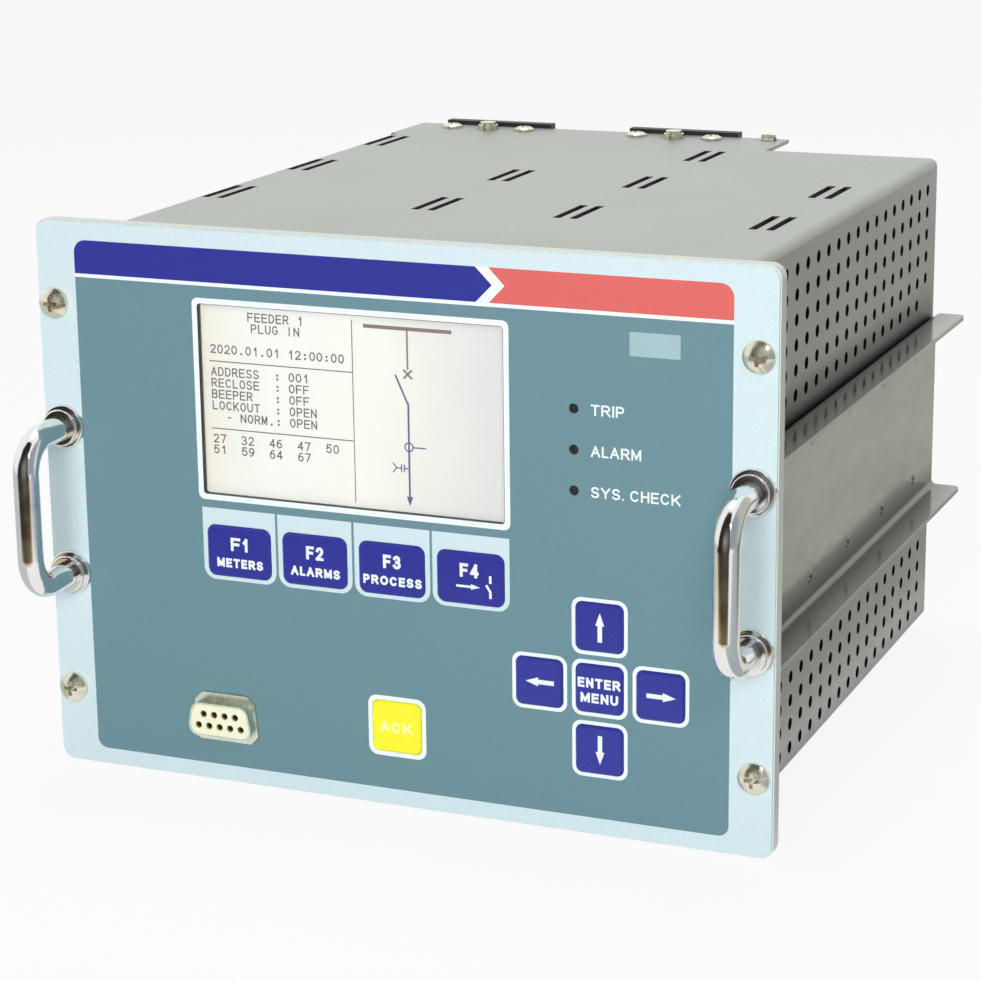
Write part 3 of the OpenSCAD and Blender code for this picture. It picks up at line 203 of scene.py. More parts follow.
SLOTS = {
    "foil": foil,
    "plate": material("plate", lin(222, 228, 221), 0.42, vary=0.06, grain=700, stretch=(1, 1, 12), bump=3e-6,
                      bump_grain=2500, Metallic=0.3),
    "pane": material("pane", lin(235, 243, 246), 0.06, vary=0.02, grain=60, spread=0.03, Alpha=0.05),
    "black_plastic": material("black_plastic", lin(26, 26, 28), 0.48, vary=0.12, grain=1500, bump=1.2e-5,
                              bump_grain=2600),
    "key_blue": key_blue,
    "key_yellow": key_yellow,
    "lamp": material("lamp", lin(38, 44, 50), 0.28, vary=0.12, grain=1200, bump=5e-6, bump_grain=2500),
    "tinned": material("tinned", lin(218, 223, 205), 0.28, vary=0.05, grain=500, bump=1.5e-6, bump_grain=1200,
                       blotch=0.1, blotch_grain=160, Metallic=0.78),
    "insert": material("insert", lin(247, 246, 216), 0.45, vary=0.03, grain=1500, bump=5e-6, bump_grain=3000,
                       Specular_IOR_Level=0.3),
    "contact": material("contact", lin(112, 100, 70), 0.34, vary=0.1, grain=1500, bump=3e-6, bump_grain=3000,
                        Metallic=0.7),
    "chrome": material("chrome", lin(236, 236, 234), 0.13, vary=0.03, grain=240, bump=1.5e-6, bump_grain=420,
                       spread=0.03, Metallic=1.0),
    "zinc": material("zinc", lin(236, 232, 212), 0.22, vary=0.08, grain=420, bump=4e-6, bump_grain=900, spread=0.07,
                     blotch=0.12, blotch_grain=260, Metallic=0.93),
    # Sheet: painted shade, near black inside the housing and darker in its inner corners
    "sheet": material("sheet", lin(178, 184, 175), 0.36, vary=0.02, grain=500, bump=8e-7, bump_grain=300, corners=0.011,
                      blotch=0.07, blotch_grain=26, spread=0.05, shade_inside=True, Metallic=0.4,
                      Specular_IOR_Level=0.4),
    # Rail: painted shade darkens its inner corners
    "rail": material("rail", lin(150, 151, 142), 0.15, vary=0.02, grain=300, stretch=(1, 0.35, 1), bump=1.5e-6,
                     bump_grain=260, corners=0.008, blotch=0.2, blotch_grain=70, spread=0.05, Metallic=0.8),
    "board": material("board", lin(18, 48, 32), 0.5, vary=0.2, grain=420, bump=1.5e-5, bump_grain=900,
                      blotch=0.25, blotch_grain=120),
    "relay": material("relay", lin(226, 220, 196), 0.4, vary=0.04, grain=1200, bump=8e-6, bump_grain=2400),
    "core": material("core", lin(112, 110, 106), 0.45, vary=0.16, grain=600, stretch=(1, 1, 6), bump=2e-5,
                     bump_grain=1600, Metallic=0.6),
    "fins": material("fins", lin(164, 166, 166), 0.38, vary=0.08, grain=600, stretch=(1, 1, 0.15), bump=6e-6,
                     bump_grain=1500, Metallic=0.9),
}


def graded(ramp, stops):
    """Sets a colour ramp's stops, each a place and a screen colour."""
    for i, (place, colour) in enumerate(stops):
        e = ramp.color_ramp.elements[i] if i < 2 else ramp.color_ramp.elements.new(place)
        e.position = place
        e.color = lin(*colour)


def display_material():
    """Backlit pale glass: a warm left edge, a bright middle and a dimmer right side."""
    m = bpy.data.materials.new("display")
    m.use_nodes = True
    tree = m.node_tree
    shader = tree.nodes["Principled BSDF"]
    coord = tree.nodes.new("ShaderNodeTexCoord")
    axes = tree.nodes.new("ShaderNodeSeparateXYZ")
    tree.links.new(coord.outputs["Object"], axes.inputs["Vector"])
    across = tree.nodes.new("ShaderNodeMapRange")
    across.inputs["From Min"].default_value = WINDOW[0] * MM
    across.inputs["From Max"].default_value = WINDOW[2] * MM
    tree.links.new(axes.outputs["X"], across.inputs["Value"])
    cloud = tree.nodes.new("ShaderNodeTexNoise")
    cloud.inputs["Scale"].default_value = 45
    tree.links.new(coord.outputs["Object"], cloud.inputs["Vector"])
    sway = tree.nodes.new("ShaderNodeMath")
    sway.operation = "MULTIPLY_ADD"
    sway.inputs[1].default_value = 0.12
    tree.links.new(cloud.outputs["Fac"], sway.inputs[0])
    tree.links.new(across.outputs["Result"], sway.inputs[2])
    ramp = tree.nodes.new("ShaderNodeValToRGB")
    graded(ramp, [(0.05, (242, 236, 219)), (0.16, (242, 243, 233)), (0.3, (245, 246, 239)), (0.62, (244, 246, 234)),
                  (0.84, (233, 233, 225)), (1.0, (226, 224, 223))])
    tree.links.new(sway.outputs["Value"], ramp.inputs["Fac"])
    tree.links.new(ramp.outputs["Color"], shader.inputs["Base Color"])
    tree.links.new(ramp.outputs["Color"], shader.inputs["Emission Color"])
    shader.inputs["Emission Strength"].default_value = 0.04
    shader.inputs["Roughness"].default_value = 0.35
    shader.inputs["Specular IOR Level"].default_value = 0.2
    return m


SLOTS["display"] = display_material()

for part in frame["record"]["subparts"]:
    mesh = nodes[part["node"]].data
    mesh.materials.clear()
    mesh.materials.append(SLOTS[part["material_slot"]])
nodes["rail_rivets"].data.materials[0] = SLOTS["rail"]


# Flat shapes in the panel's plane

# Thickness of a print, and how far crossing strokes differ in height
PRINT_T = 0.02
STAGGER, STAGGER_STEPS = 0.002, 7


def to_panel(y, t):
    """Places a shape drawn in X and Z, t thick about its plane, with its face at depth y."""
    return Matrix(((MM, 0, 0, 0), (0, 0, -MM, (y + t / 2 - MID_Y) * MM), (0, MM, 0, 0), (0, 0, 0, 1)))


def baked(curve):
    o = bpy.data.objects.new(curve.name, curve)
    scene.collection.objects.link(o)
    bpy.context.view_layer.update()
    mesh = bpy.data.meshes.new_from_object(o.evaluated_get(bpy.context.evaluated_depsgraph_get()))
    bpy.data.objects.remove(o)
    return mesh


def piece(name, mesh, paint, body):
    mesh.materials.clear()
    mesh.materials.append(paint)
    o = bpy.data.objects.new(name, mesh)
    scene.collection.objects.link(o)
    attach(o, body)
    return o


def filled(name, loops, paint, y, t=PRINT_T, body="unit"):
    """Filled outlines; a loop inside another is a hole."""
    c = bpy.data.curves.new(name, "CURVE")
    c.dimensions = "2D"
    c.fill_mode = "BOTH"
    c.extrude = t / 2
    for loop in loops:
        s = c.splines.new("POLY")
        s.points.add(len(loop) - 1)
        for point, (u, v) in zip(s.points, loop):
            point.co = (u, v, 0, 1)
        s.use_cyclic_u = True
    mesh = baked(c)
    mesh.transform(to_panel(y, t))
    return piece(name, mesh, paint, body)


def rect(x0, z0, x1, z1, r=0.0, n=8):
    """Rectangle with corner radii r: one number, or four from the lower left round to the upper left."""
    rs = r if isinstance(r, tuple) else (r,) * 4
    out = []
    for (cx, cz), rad, start in zip(((x0, z0), (x1, z0), (x1, z1), (x0, z1)), rs, (180, 270, 0, 90)):
        if rad == 0:
            out.append((cx, cz))
            continue
        mx = cx + rad if cx == x0 else cx - rad
        mz = cz + rad if cz == z0 else cz - rad
        for i in range(n + 1):
            a = math.radians(start + 90 * i / n)
            out.append((mx + rad * math.cos(a), mz + rad * math.sin(a)))
    return out


def about(x, z, w, h, r=0.0):
    return rect(x - w / 2, z - h / 2, x + w / 2, z + h / 2, r)


def disc(x, z, r, n=40):
    return [(x + r * math.cos(2 * math.pi * i / n), z + r * math.sin(2 * math.pi * i / n)) for i in range(n)]


def stroke(x0, z0, x1, z1, w):
    """A straight line of width w as a loop."""
    d = Vector((x1 - x0, z1 - z0)).normalized() * (w / 2)
    return [(x0 + d.y, z0 - d.x), (x1 + d.y, z1 - d.x), (x1 - d.y, z1 + d.x), (x0 - d.y, z0 + d.x)]


def loops_apart(name, loops, paint, y, t=PRINT_T, body="unit", slot="foil"):
    """Convex loops as separate low prisms in one mesh; they may cross, as their faces differ a little in height."""
    verts, faces = [], []
    for i, loop in enumerate(loops):
        k, n, face = len(verts), len(loop), t / 2 + STAGGER * (i % STAGGER_STEPS)
        verts += [(u, v, face) for u, v in loop] + [(u, v, -t / 2) for u, v in loop]
        faces.append(list(range(k, k + n)))
        faces.append(list(range(k + 2 * n - 1, k + n - 1, -1)))
        faces += [[k + n + j, k + n + (j + 1) % n, k + (j + 1) % n, k + j] for j in range(n)]
    mesh = bpy.data.meshes.new(name)
    mesh.from_pydata(verts, [], faces)
    mesh.transform(to_panel(y, t))
    return piece(name, mesh, paint, body)


# Lettering, drawn in strokes


def bow(cx, cz, rx, rz, start, end):
    """Part of an ellipse, its angles in degrees."""
    n = max(2, round(abs(end - start) / 18))
    turns = [math.radians(start + (end - start) * i / n) for i in range(n + 1)]
    return [(cx + rx * math.cos(a), cz + rz * math.sin(a)) for a in turns]


RING = bow(0.5, 0.5, 0.5, 0.5, 0, 360)
SIX = [bow(0.5, 0.31, 0.48, 0.31, 0, 360), bow(0.66, 0.4, 0.64, 0.6, 75, 180)]
# Width of each character as a share of its height, and its strokes in a unit box
STROKES = {
    "A": (0.92, [[(0, 0), (0.5, 1), (1, 0)], [(0.2, 0.35), (0.8, 0.35)]]),
    "B": (0.77, [[(0, 0), (0, 1), (0.58, 1)] + bow(0.58, 0.765, 0.36, 0.235, 90, -90) + [(0, 0.53)],
                 [(0, 0.53), (0.6, 0.53)] + bow(0.6, 0.265, 0.4, 0.265, 90, -90) + [(0, 0)]]),
    "C": (0.88, [bow(0.5, 0.5, 0.5, 0.5, 42, 318)]),
    "D": (0.84, [[(0, 0), (0, 1), (0.45, 1)] + bow(0.45, 0.5, 0.55, 0.5, 90, -90) + [(0, 0)]]),
    "E": (0.74, [[(1, 1), (0, 1), (0, 0), (1, 0)], [(0, 0.52), (0.9, 0.52)]]),
    "F": (0.7, [[(1, 1), (0, 1), (0, 0)], [(0, 0.5), (0.85, 0.5)]]),
    "G": (0.92, [bow(0.5, 0.5, 0.5, 0.5, 46, 316) + [(0.98, 0.22), (0.98, 0.47), (0.6, 0.47)]]),
    "H": (0.8, [[(0, 0), (0, 1)], [(1, 0), (1, 1)], [(0, 0.52), (1, 0.52)]]),
    "I": (0.0, [[(0, 0), (0, 1)]]),
    "K": (0.86, [[(0, 0), (0, 1)], [(1, 1), (0.05, 0.36)], [(0.34, 0.6), (1, 0)]]),
    "L": (0.64, [[(0, 1), (0, 0), (1, 0)]]),
    "M": (0.96, [[(0, 0), (0, 1)], [(1, 0), (1, 1)], [(0.08, 0.9), (0.5, 0.12), (0.92, 0.9)]]),
    "N": (0.8, [[(0, 0), (0, 1)], [(1, 0), (1, 1)], [(0.1, 0.88), (0.9, 0.12)]]),
    "O": (0.96, [RING]),
    "P": (0.77, [[(0, 0), (0, 1), (0.6, 1)] + bow(0.6, 0.73, 0.4, 0.27, 90, -90) + [(0, 0.46)]]),
    "R": (0.85, [[(0, 0), (0, 1), (0.6, 1)] + bow(0.6, 0.74, 0.36, 0.26, 90, -90) + [(0, 0.48)],
                 [(0.5, 0.48), (1, 0)]]),
    "S": (0.8, [bow(0.5, 0.745, 0.46, 0.255, 25, 270) + bow(0.5, 0.245, 0.5, 0.245, 90, -158)[1:]]),
    "T": (0.81, [[(0, 1), (1, 1)], [(0.5, 1), (0.5, 0)]]),
    "U": (0.8, [[(0, 1), (0, 0.36)] + bow(0.5, 0.36, 0.5, 0.36, 180, 360) + [(1, 1)]]),
    "Y": (0.9, [[(0, 1), (0.5, 0.45), (1, 1)], [(0.5, 0.45), (0.5, 0)]]),
    "0": (0.68, [RING]),
    "1": (0.36, [[(0, 0.72), (0.9, 1), (0.9, 0)]]),
    "2": (0.68, [bow(0.5, 0.72, 0.48, 0.28, 165, -38) + [(0, 0), (1, 0)]]),
    "3": (0.68, [bow(0.46, 0.755, 0.44, 0.245, 155, -90) + bow(0.46, 0.255, 0.54, 0.255, 90, -155)[1:]]),
    "4": (0.7, [[(0.74, 0), (0.74, 1), (0, 0.28), (1, 0.28)]]),
    "5": (0.68, [[(0.94, 1), (0.16, 1), (0.04, 0.5)] + bow(0.48, 0.33, 0.5, 0.33, 130, -152)]),
    "6": (0.68, SIX),
    "7": (0.68, [[(0, 1), (1, 1), (0.36, 0)]]),
    "9": (0.68, [[(1 - u, 1 - v) for u, v in run] for run in SIX]),
    ".": (0.0, [[(0, 0), (0, 0.01)]]),
    ":": (0.0, [[(0, 0.08), (0, 0.09)], [(0, 0.62), (0, 0.63)]]),
    "-": (0.42, [[(0, 0.44), (1, 0.44)]]),
}


def ribbon(run, w):
    """Quads along a run of points; the run is parted at sharp corners, and its open ends reach w / 2 further."""
    points = [Vector(p) for p in run]
    ways = [(b - a).normalized() for a, b in zip(points, points[1:])]
    closed = (points[0] - points[-1]).length < 1e-6 and ways[0].dot(ways[-1]) > 0.5
    corners = [i for i in range(1, len(ways)) if ways[i - 1].dot(ways[i]) < 0.5]
    quads = []
    for first, last in zip([0] + corners, corners + [len(ways)]):
        edges = []
        for i in range(first, last + 1):
            before = ways[i - 1] if i > first or closed and first == 0 else ways[i]
            after = ways[i] if i < last else ways[0] if closed and last == len(ways) else ways[i - 1]
            mid = (before + after).normalized()
            spot = points[i]
            if i == first and not (closed and first == 0):
                spot = spot - mid * (w / 2)
            elif i == last and not (closed and last == len(ways)):
                spot = spot + mid * (w / 2)
            side = Vector((-mid.y, mid.x)) * (w / 2 / max(mid.dot(after), 0.5))
            edges.append((spot - side, spot + side))
        quads += [[a[0], b[0], b[1], a[1]] for a, b in zip(edges, edges[1:])]
    return quads


def character(ch, x, z, width, cap, w):
    """Quads of one character, its lower left corner at x and z."""
    return [q for run in STROKES[ch][1]
            for q in ribbon([(x + w / 2 + u * (width - w), z + w / 2 + v * (cap - w)) for u, v in run], w)]


# Share of a cap's height: a space, and the gap between characters without and with their weight
SPACE, GAP_LEAST, GAP_BY_WEIGHT = 0.3, 0.13, 0.2
# Most that a stroke's weight follows wide characters
WIDE_STROKE = 1.15


def word(name, text, x, z, cap, paint, y, width, align="centre", weight=0.13, t=PRINT_T, body="unit", slot="foil"):
    """A line of text, cap high and width wide, centred on z; align says which end of it is at x."""
    sizes = [SPACE if ch == " " else max(STROKES[ch][0], weight) for ch in text]
    gap = GAP_LEAST + GAP_BY_WEIGHT * weight
    k = width / (sum(sizes) + gap * (len(text) - 1))
    left = x - {"left": 0, "centre": 0.5, "right": 1}[align] * width
    quads = []
    for ch, size in zip(text, sizes):
        if ch != " ":
            quads += character(ch, left, z - cap / 2, size * k, cap, min(weight * cap, weight * k * WIDE_STROKE))
        left += (size + gap) * k
    return loops_apart(name, quads, paint, y, t, body, slot)


# Printed front: the places of the keys, window, lamps and connector are those of the solids

PRINT_Y, WORD_Y = -0.02, -0.04
FKEYS = [-39.4, -20.0, -0.6, 18.8]
FKEY_Z = 57.2
FKEY = (16.3, 12.2, 2.0)
ARROWS = {"up": (49.55, 49.15), "left": (35.2, 34.8), "enter": (49.55, 34.8), "right": (63.9, 34.8),
          "down": (49.55, 20.45)}
ARROW_W, ARROW_R = 11.3, 1.6
ACK = (-0.15, 19.4)
ACK_W, ACK_R = 12.3, 1.6
# Gap between a key and the print around it
GAP = 0.08
LAMPS = [98.3, 89.1, 79.9]
LAMP_X, LAMP_R = 43.6, 1.15
DSUB = (-44.5, 16.2)
FIELD_X, FIELD_LOW, FIELD_HIGH = 79.8, 4.1, 119.4

lamp_holes = [disc(LAMP_X, z, LAMP_R) for z in LAMPS]
fkey_holes = [about(x, FKEY_Z, FKEY[0] + 2 * GAP, FKEY[1] + 2 * GAP, FKEY[2] + GAP) for x in FKEYS]
arrow_holes = [about(x, z, ARROW_W + 2 * GAP, ARROW_W + 2 * GAP, ARROW_R + GAP) for x, z in ARROWS.values()]
ack_hole = about(*ACK, ACK_W + 2 * GAP, ACK_W + 2 * GAP, ACK_R + GAP)
half, tall, corner, lean = 8.75, 5.9, 2.0, math.tan(math.radians(5))
low, high = half - corner * lean, half - (2 * tall - corner) * lean
dsub_hole = [(DSUB[0] + u, DSUB[1] + v) for u, v in (
    (corner - half, -tall), (half - corner, -tall), (low, corner - tall), (high, tall - corner),
    (high - corner, tall), (corner - high, tall), (-high, tall - corner), (-low, corner - tall))]

frame_outer = rect(-49.5, 69.2, 28.5, 116.6, 1.5)
tab_w, tab_low, tab_high = 18.8, 50.1, 67.3
tabs = [rect(x - tab_w / 2, tab_low, x + tab_w / 2, tab_high, (3.0, 3.0, 0.0, 0.0)) for x in FKEYS]
arrow_rings = [about(x, z, 13.2, 13.2, 2.3) for x, z in ARROWS.values()]
ack_ring = about(*ACK, 14.5, 14.6, 2.3)
patch = rect(56.5, 110.9, 68.0, 116.2, 0.2)

field = rect(-FIELD_X, FIELD_LOW, FIELD_X, FIELD_HIGH, (2.5, 2.5, 0.0, 0.0))
filled("print_field", [field, frame_outer, patch, dsub_hole, ack_ring] + tabs + arrow_rings + lamp_holes,
       ink_field, PRINT_Y)
filled("print_frame", [frame_outer, rect(*WINDOW, 0.8)], ink_white, PRINT_Y)
filled("print_tabs", tabs + fkey_holes, ink_pale, PRINT_Y)
filled("print_rings", arrow_rings + arrow_holes + [ack_ring, ack_hole], ink_white, PRINT_Y)
filled("print_patch", [patch], ink_patch, PRINT_Y)
band_low, band_high, band_mid = 120.25, 128.1, 124.2
blue_end, blue_tip, red_end, red_tip = 20.8, 24.7, 23.9, 27.7
filled("print_line", [rect(-FIELD_X, FIELD_HIGH, FIELD_X, band_low)], ink_white, PRINT_Y)
top_left = rect(-FIELD_X, band_low, -60, band_high, (0.0, 0.0, 0.0, 3.0))[3:]
top_right = rect(60, band_low, FIELD_X, band_high, (0.0, 0.0, 3.0, 0.0))
filled("print_blue", [[(-FIELD_X, band_low), (blue_end, band_low), (blue_tip, band_mid), (blue_end, band_high)]
                      + top_left], ink_blue, PRINT_Y)
filled("print_chevron", [[(blue_end, band_low), (red_end, band_low), (red_tip, band_mid), (red_end, band_high),
                          (blue_end, band_high), (blue_tip, band_mid)]], ink_white, PRINT_Y)
filled("print_red", [[(red_end, band_low)] + top_right[1:-1] + [(red_end, band_high), (red_tip, band_mid)]], ink_red,
       PRINT_Y)

for name, text, z, width in (("trip", "TRIP", LAMPS[0], 7.7), ("alarm", "ALARM", LAMPS[1], 11.6),
                             ("check", "SYS. CHECK", LAMPS[2], 20.6)):
    word("word_" + name, text, 47.6, z, 2.5, ink_white, WORD_Y, width, "left", 0.165)


# Key legends, on each key's face

LEGEND_Y = -0.72
on_key = dict(y=LEGEND_Y, slot="key_blue")
number = dict(z=FKEY_Z + 1.95, cap=3.2, paint=key_white, weight=0.22, **on_key)


def arrow_loops(x, z, length, head_w, head_l, shaft_w, turn):
    """An arrow about x and z, pointing along +X before the turn in degrees."""
    c, s = math.cos(math.radians(turn)), math.sin(math.radians(turn))
    tip, neck = length / 2, length / 2 - head_l

    def put(points):
        return [(x + u * c - v * s, z + u * s + v * c) for u, v in points]
    return [put([(neck, -head_w / 2), (tip, 0), (neck, head_w / 2)]),
            put([(-length / 2, -shaft_w / 2), (neck + 0.05, -shaft_w / 2), (neck + 0.05, shaft_w / 2),
                 (-length / 2, shaft_w / 2)])]


for i, (text, width) in enumerate((("METERS", 11.9), ("ALARMS", 12.5), ("PROCESS", 14.6))):
    body = f"f{i + 1}_button"
    word(f"f{i + 1}_number", f"F{i + 1}", FKEYS[i] + 0.3, width=4.4, body=body, **number)
    word(f"f{i + 1}_word", text, FKEYS[i] + 0.35, FKEY_Z - 2.6, 2.2, key_white, width=width, weight=0.25,
         body=body, **on_key)
word("f4_number", "F4", 18.7, width=4.6, body="f4_button", **number)
loops_apart("f4_sign", arrow_loops(18.4, 55.4, 5.8, 1.3, 2.2, 0.55, 0) + [
    stroke(23.8, 58.4, 23.8, 56.6, 0.6), stroke(22.8, 56.2, 23.8, 54.6, 0.55), stroke(23.8, 54.8, 23.8, 53.1, 0.6)],
    key_white, body="f4_button", **on_key)
for name, turn in (("up", 90), ("left", 180), ("right", 0), ("down", 270)):
    x, z = ARROWS[name]
    loops_apart(name + "_sign", arrow_loops(x + 0.3, z + 0.15, 6.8, 2.1, 3.0, 1.05, turn), key_white,
                body=name + "_button", **on_key)
word("enter_word", "ENTER", 49.65, 36.25, 2.3, key_white, width=10.1, weight=0.24, body="enter_button", **on_key)
word("menu_word", "MENU", 49.7, 32.75, 2.3, key_white, width=8.9, weight=0.24, body="enter_button", **on_key)
word("ack_word", "ACK", ACK[0] + 0.05, ACK[1] + 0.05, 2.6, ack_white, y=LEGEND_Y, width=8.3, weight=0.24,
     body="ack_button", slot="key_yellow")


# Display content

LINER_Y, LINER_T = 0.02, 0.46
filled("window_liner", [rect(-48.18, 70.52, 27.18, 115.28, 0.8), rect(-48.08, 70.62, 27.08, 115.18, 0.7)],
       SLOTS["black_plastic"], LINER_Y, LINER_T)
LCD_Y, RING_Y = 1.68, 1.66
# A character's cell, its height and greatest width, and the width of strokes and of dots
CELL, LCD_CAP, LCD_WIDEST, LCD_PEN, LCD_DOT = 1.8, 2.1, 1.45, 0.3, 0.48
LCD_LEFT, STATE_Z, STATE_STEP = -45.4, 99.6, 2.65
# Shift of the content on the glass, which lies behind the foil
LCD_X, LCD_Z = -0.8, -0.25
lcd = dict(y=LCD_Y, slot="display")


def lcd_line(name, text, x, z):
    """Characters in equal cells, in one mesh."""
    quads = []
    for i, ch in enumerate(text):
        if ch != " ":
            pen = LCD_DOT if ch in ".:" else LCD_PEN
            width = min(LCD_WIDEST, max(STROKES[ch][0] * LCD_CAP, pen))
            left = x + LCD_X + (i + 0.5) * CELL - width / 2
            quads += character(ch, left, z + LCD_Z - LCD_CAP / 2, width, LCD_CAP, pen)
    return loops_apart(name, quads, lcd_dark, **lcd)


def lcd_moved(loops):
    return [[(u + LCD_X, v + LCD_Z) for u, v in loop] for loop in loops]


lcd_line("lcd_title", "FEEDER 1", -35.6, 112.8)
lcd_line("lcd_kind", "PLUG IN", -34.8, 110.2)
lcd_line("lcd_clock", "2020.01.01 12:00:00", LCD_LEFT, 104.9)
for i, text in enumerate(("ADDRESS  : 001", "RECLOSE  : OFF", "BEEPER   : OFF", "LOCKOUT  : OPEN", "  - NORM.: OPEN")):
    lcd_line(f"lcd_state_{i + 1}", text, LCD_LEFT, STATE_Z - STATE_STEP * i)
lcd_line("lcd_codes_1", "27  32  46  47  50", LCD_LEFT, 83.8)
lcd_line("lcd_codes_2", "51  59  64  67", LCD_LEFT, 81.2)

loops_apart("lcd_lines", lcd_moved([
    stroke(-9.3, 71.8, -9.3, 114.0, 0.22), stroke(-45.6, 102.0, -9.3, 102.0, 0.24),
    stroke(-45.6, 86.15, -9.3, 86.15, 0.24)]), lcd_dark, **lcd)
loops_apart("lcd_bus", lcd_moved([
    stroke(-6.45, 112.9, 15.0, 112.9, 0.85), stroke(4.24, 112.9, 4.24, 103.6, 0.42),
    stroke(3.2, 103.6, 5.3, 101.6, 0.46), stroke(3.2, 101.6, 5.3, 103.6, 0.46)]), lcd_brown, **lcd)
loops_apart("lcd_feeder", lcd_moved([
    stroke(1.2, 102.3, 4.1, 95.9, 0.44), stroke(4.24, 96.1, 4.24, 74.2, 0.46),
    [(3.45, 74.4), (4.24, 72.2), (5.03, 74.4)], stroke(5.3, 85.9, 8.4, 85.9, 0.3),
    stroke(4.24, 80.9, 3.0, 80.9, 0.28), stroke(3.0, 80.0, 3.0, 81.8, 0.3), stroke(2.3, 80.0, 2.3, 81.8, 0.3),
    stroke(2.3, 80.9, 1.1, 80.9, 0.28), stroke(1.1, 80.9, 0.2, 82.0, 0.3), stroke(1.1, 80.9, 0.2, 79.8, 0.3)]),
    lcd_violet, **lcd)
filled("lcd_ring", lcd_moved([disc(4.24, 85.9, 1.15), disc(4.24, 85.9, 0.83)]), lcd_violet, RING_Y)


# Stage, light and camera


def sheet_mesh(name, corners, paint):
    mesh = bpy.data.meshes.new(name)
    mesh.from_pydata(corners, [], [[0, 1, 2, 3]])
    mesh.materials.append(paint)
    o = bpy.data.objects.new(name, mesh)
    scene.collection.objects.link(o)
    return o


def seen_directly(tree):
    """1 for camera, mirror and glass rays, and 0 for the rays that light a surface."""
    path = tree.nodes.new("ShaderNodeLightPath")
    a = tree.nodes.new("ShaderNodeMath")
    a.operation = "MAXIMUM"
    tree.links.new(path.outputs["Is Camera Ray"], a.inputs[0])
    tree.links.new(path.outputs["Is Glossy Ray"], a.inputs[1])
    b = tree.nodes.new("ShaderNodeMath")
    b.operation = "MAXIMUM"
    tree.links.new(a.outputs["Value"], b.inputs[0])
    tree.links.new(path.outputs["Is Transmission Ray"], b.inputs[1])
    return b.outputs["Value"]


def floor_material():
    """White floor that keeps the shadow and throws little light back."""
    m = bpy.data.materials.new("floor")
    m.use_nodes = True
    tree = m.node_tree
    tree.nodes.clear()
    out = tree.nodes.new("ShaderNodeOutputMaterial")
    mix = tree.nodes.new("ShaderNodeMixShader")
    plain = tree.nodes.new("ShaderNodeBsdfDiffuse")
    path = tree.nodes.new("ShaderNodeLightPath")
    tone = tree.nodes.new("ShaderNodeMix")
    tone.data_type = "RGBA"
    tone.inputs[6].default_value = (0.94, 0.94, 0.94, 1)
    tone.inputs[7].default_value = (0.5, 0.5, 0.5, 1)
    tree.links.new(path.outputs["Is Diffuse Ray"], tone.inputs["Factor"])
    tree.links.new(tone.outputs[2], plain.inputs["Color"])
    glow = tree.nodes.new("ShaderNodeEmission")
    share = tree.nodes.new("ShaderNodeMath")
    share.operation = "MULTIPLY"
    share.inputs[1].default_value = 0.9
    tree.links.new(seen_directly(tree), share.inputs[0])
    tree.links.new(share.outputs["Value"], mix.inputs["Fac"])
    tree.links.new(plain.outputs["BSDF"], mix.inputs[1])
    tree.links.new(glow.outputs["Emission"], mix.inputs[2])
    tree.links.new(mix.outputs["Shader"], out.inputs["Surface"])
    return m


def world_light(strength):
    world = bpy.data.worlds.new("studio")
    scene.world = world
    world.use_nodes = True
    tree = world.node_tree
    tree.nodes.clear()
    out = tree.nodes.new("ShaderNodeOutputWorld")
    mix = tree.nodes.new("ShaderNodeMixShader")
    light = tree.nodes.new("ShaderNodeBackground")
    light.inputs["Strength"].default_value = strength
    light.inputs["Color"].default_value = (1, 1, 1, 1)
    white = tree.nodes.new("ShaderNodeBackground")
    white.inputs["Strength"].default_value = 1
    white.inputs["Color"].default_value = (1, 1, 1, 1)
    tree.links.new(seen_directly(tree), mix.inputs["Fac"])
    tree.links.new(light.outputs["Background"], mix.inputs[1])
    tree.links.new(white.outputs["Background"], mix.inputs[2])
    tree.links.new(mix.outputs["Shader"], out.inputs["Surface"])


def lamp(name, place, size, watts, target=(0, 0, 0.06)):
    data = bpy.data.lights.new(name, "AREA")
    data.shape = "DISK"
    data.size = size
    data.energy = watts
    o = bpy.data.objects.new(name, data)
    o.location = place
    o.rotation_euler = (Vector(target) - Vector(place)).to_track_quat("-Z", "Y").to_euler()
    scene.collection.objects.link(o)


FLOOR_Z, REACH = -0.0004, 4
sheet_mesh("floor", [(-REACH, -REACH, FLOOR_Z), (REACH, -REACH, FLOOR_Z), (REACH, REACH, FLOOR_Z),
                     (-REACH, REACH, FLOOR_Z)], floor_material())


def card_material(name, stops, start, end, axis="Y"):
    """Card that only mirrors show, graded along an axis between two places."""
    m = bpy.data.materials.new(name)
    m.use_nodes = True
    tree = m.node_tree
    tree.nodes.clear()
    axes = tree.nodes.new("ShaderNodeSeparateXYZ")
    tree.links.new(tree.nodes.new("ShaderNodeTexCoord").outputs["Object"], axes.inputs["Vector"])
    along = tree.nodes.new("ShaderNodeMapRange")
    zero = MID_Y if axis == "Y" else 0
    along.inputs["From Min"].default_value = (start - zero) * MM
    along.inputs["From Max"].default_value = (end - zero) * MM
    tree.links.new(axes.outputs[axis], along.inputs["Value"])
    ramp = tree.nodes.new("ShaderNodeValToRGB")
    graded(ramp, stops)
    tree.links.new(along.outputs["Result"], ramp.inputs["Fac"])
    glow = tree.nodes.new("ShaderNodeEmission")
    tree.links.new(ramp.outputs["Color"], glow.inputs["Color"])
    out = tree.nodes.new("ShaderNodeOutputMaterial")
    tree.links.new(glow.outputs["Emission"], out.inputs["Surface"])
    return m


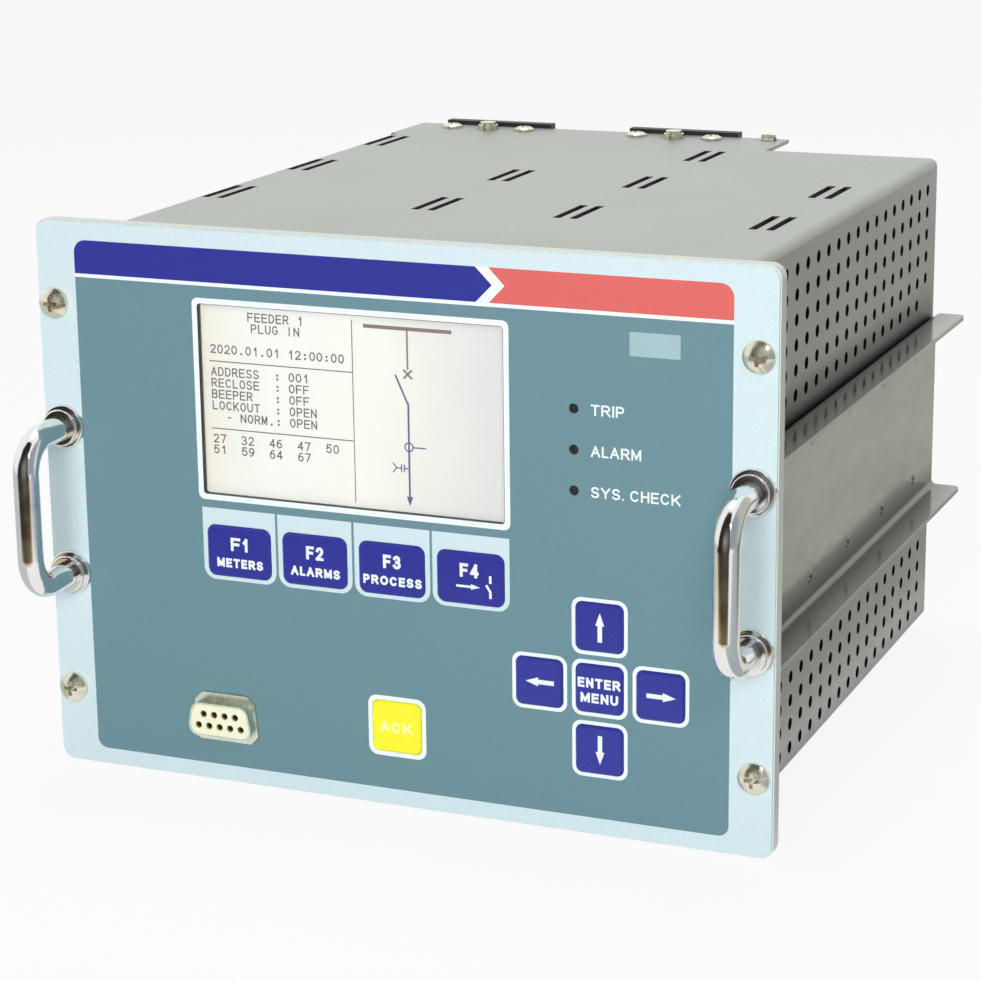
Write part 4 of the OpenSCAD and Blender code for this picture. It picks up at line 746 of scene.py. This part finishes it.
def card(name, corners, paint):
    """A card beside or before the object that lights nothing and is seen in bright metal only."""
    o = sheet_mesh(name, [(x * MM, (y - MID_Y) * MM, z * MM) for x, y, z in corners], paint)
    o.visible_camera = False
    o.visible_diffuse = False
    o.visible_shadow = False
    o.visible_transmission = False


# Edges of the cards: the wall at the right, the ends of the floor, and the dark table before the object
WALL_X, FRONT_Y, BACK_Y, TABLE_Y, MEET_Y = 520, -620, 900, -128, 60
side = card_material("side_card", [(0.0, (150, 156, 170)), (0.42, (158, 163, 174)), (0.6, (190, 192, 186)),
                                   (1.0, (196, 198, 190))], -500, 600)
card("side_card", [(WALL_X, -500, 1), (WALL_X, BACK_Y, 1), (WALL_X, BACK_Y, 700), (WALL_X, -500, 700)], side)
table = card_material("table_card", [(0.0, (250, 240, 215)), (0.05, (240, 218, 168)), (0.1, (178, 148, 88)),
                                     (0.17, (112, 96, 62)), (0.28, (58, 46, 36)), (1.0, (44, 36, 32))], TABLE_Y, -400)
card("table_card", [(-190, TABLE_Y, 1), (150, TABLE_Y, 1), (620, FRONT_Y, 1), (-760, FRONT_Y, 1)], table)
card("front_card", [(-760, FRONT_Y, 1), (620, FRONT_Y, 1), (520, FRONT_Y, 1000), (-650, FRONT_Y, 1000)], table)
card("roof_card", [(-650, FRONT_Y, 1000), (520, FRONT_Y, 1000), (400, -300, 1300), (-400, -300, 1300)], table)
ground = card_material("ground_card", [(0.0, (186, 191, 200)), (1.0, (172, 177, 184))], TABLE_Y, MEET_Y)
card("ground_card", [(116, TABLE_Y, 1), (WALL_X, TABLE_Y, 1), (WALL_X, MEET_Y, 1), (94, MEET_Y, 1)], ground)
beside = card_material("beside_card", [(0.0, (138, 136, 131)), (0.08, (138, 136, 131)), (0.14, (224, 226, 217)),
                                       (0.58, (224, 226, 217)), (0.66, (142, 140, 135)), (1.0, (136, 134, 130))],
                       94, 314, "X")
card("beside_card", [(94, MEET_Y, 1), (WALL_X, MEET_Y, 1), (WALL_X, BACK_Y, 1), (94, BACK_Y, 1)], beside)
left = card_material("left_card", [(0.0, (200, 205, 209)), (1.0, (206, 210, 213))], TABLE_Y, 300)
card("left_card", [(-100, TABLE_Y, 0.5), (-100, BACK_Y, 0.5), (-900, BACK_Y, 0.5), (-900, FRONT_Y, 0.5)], left)
world_light(0.2)
lamp("key", (0.17, -1.2, 0.26), 0.8, 11.6)
lamp("top", (-0.1, 0.3, 1.5), 0.9, 8.6)
lamp("edge", (0.5, -0.75, 0.7), 0.25, 1.2)


# Camera fitted to the photograph: turn and tilt in degrees, place seen from the camera in millimetres, and lens
AZIMUTH, ELEVATION, ROLL = 23.0228, 15.2229, -0.6954
ACROSS, DOWN, AHEAD = -21.0408, 73.0891, 656.7206
LENS, SENSOR = 104.104, 36


def photo_camera():
    az, el, roll = math.radians(AZIMUTH), math.radians(ELEVATION), math.radians(ROLL)
    ahead = Vector((-math.sin(az) * math.cos(el), math.cos(az) * math.cos(el), -math.sin(el)))
    right = Vector((math.cos(az), math.sin(az), 0))
    down = ahead.cross(right)
    u = right * math.cos(roll) - down * math.sin(roll)
    v = right * math.sin(roll) + down * math.cos(roll)
    spot = -(u * ACROSS + v * DOWN + ahead * AHEAD)
    data = bpy.data.cameras.new("camera")
    data.lens = LENS
    data.sensor_width = SENSOR
    data.clip_start = 0.01
    o = bpy.data.objects.new("camera", data)
    turn = Matrix((u, -v, -ahead)).transposed().to_4x4()
    o.matrix_world = Matrix.Translation((spot.x * MM, (spot.y - MID_Y) * MM, spot.z * MM)) @ turn
    scene.collection.objects.link(o)
    scene.camera = o


photo_camera()

bpy.context.view_layer.update()
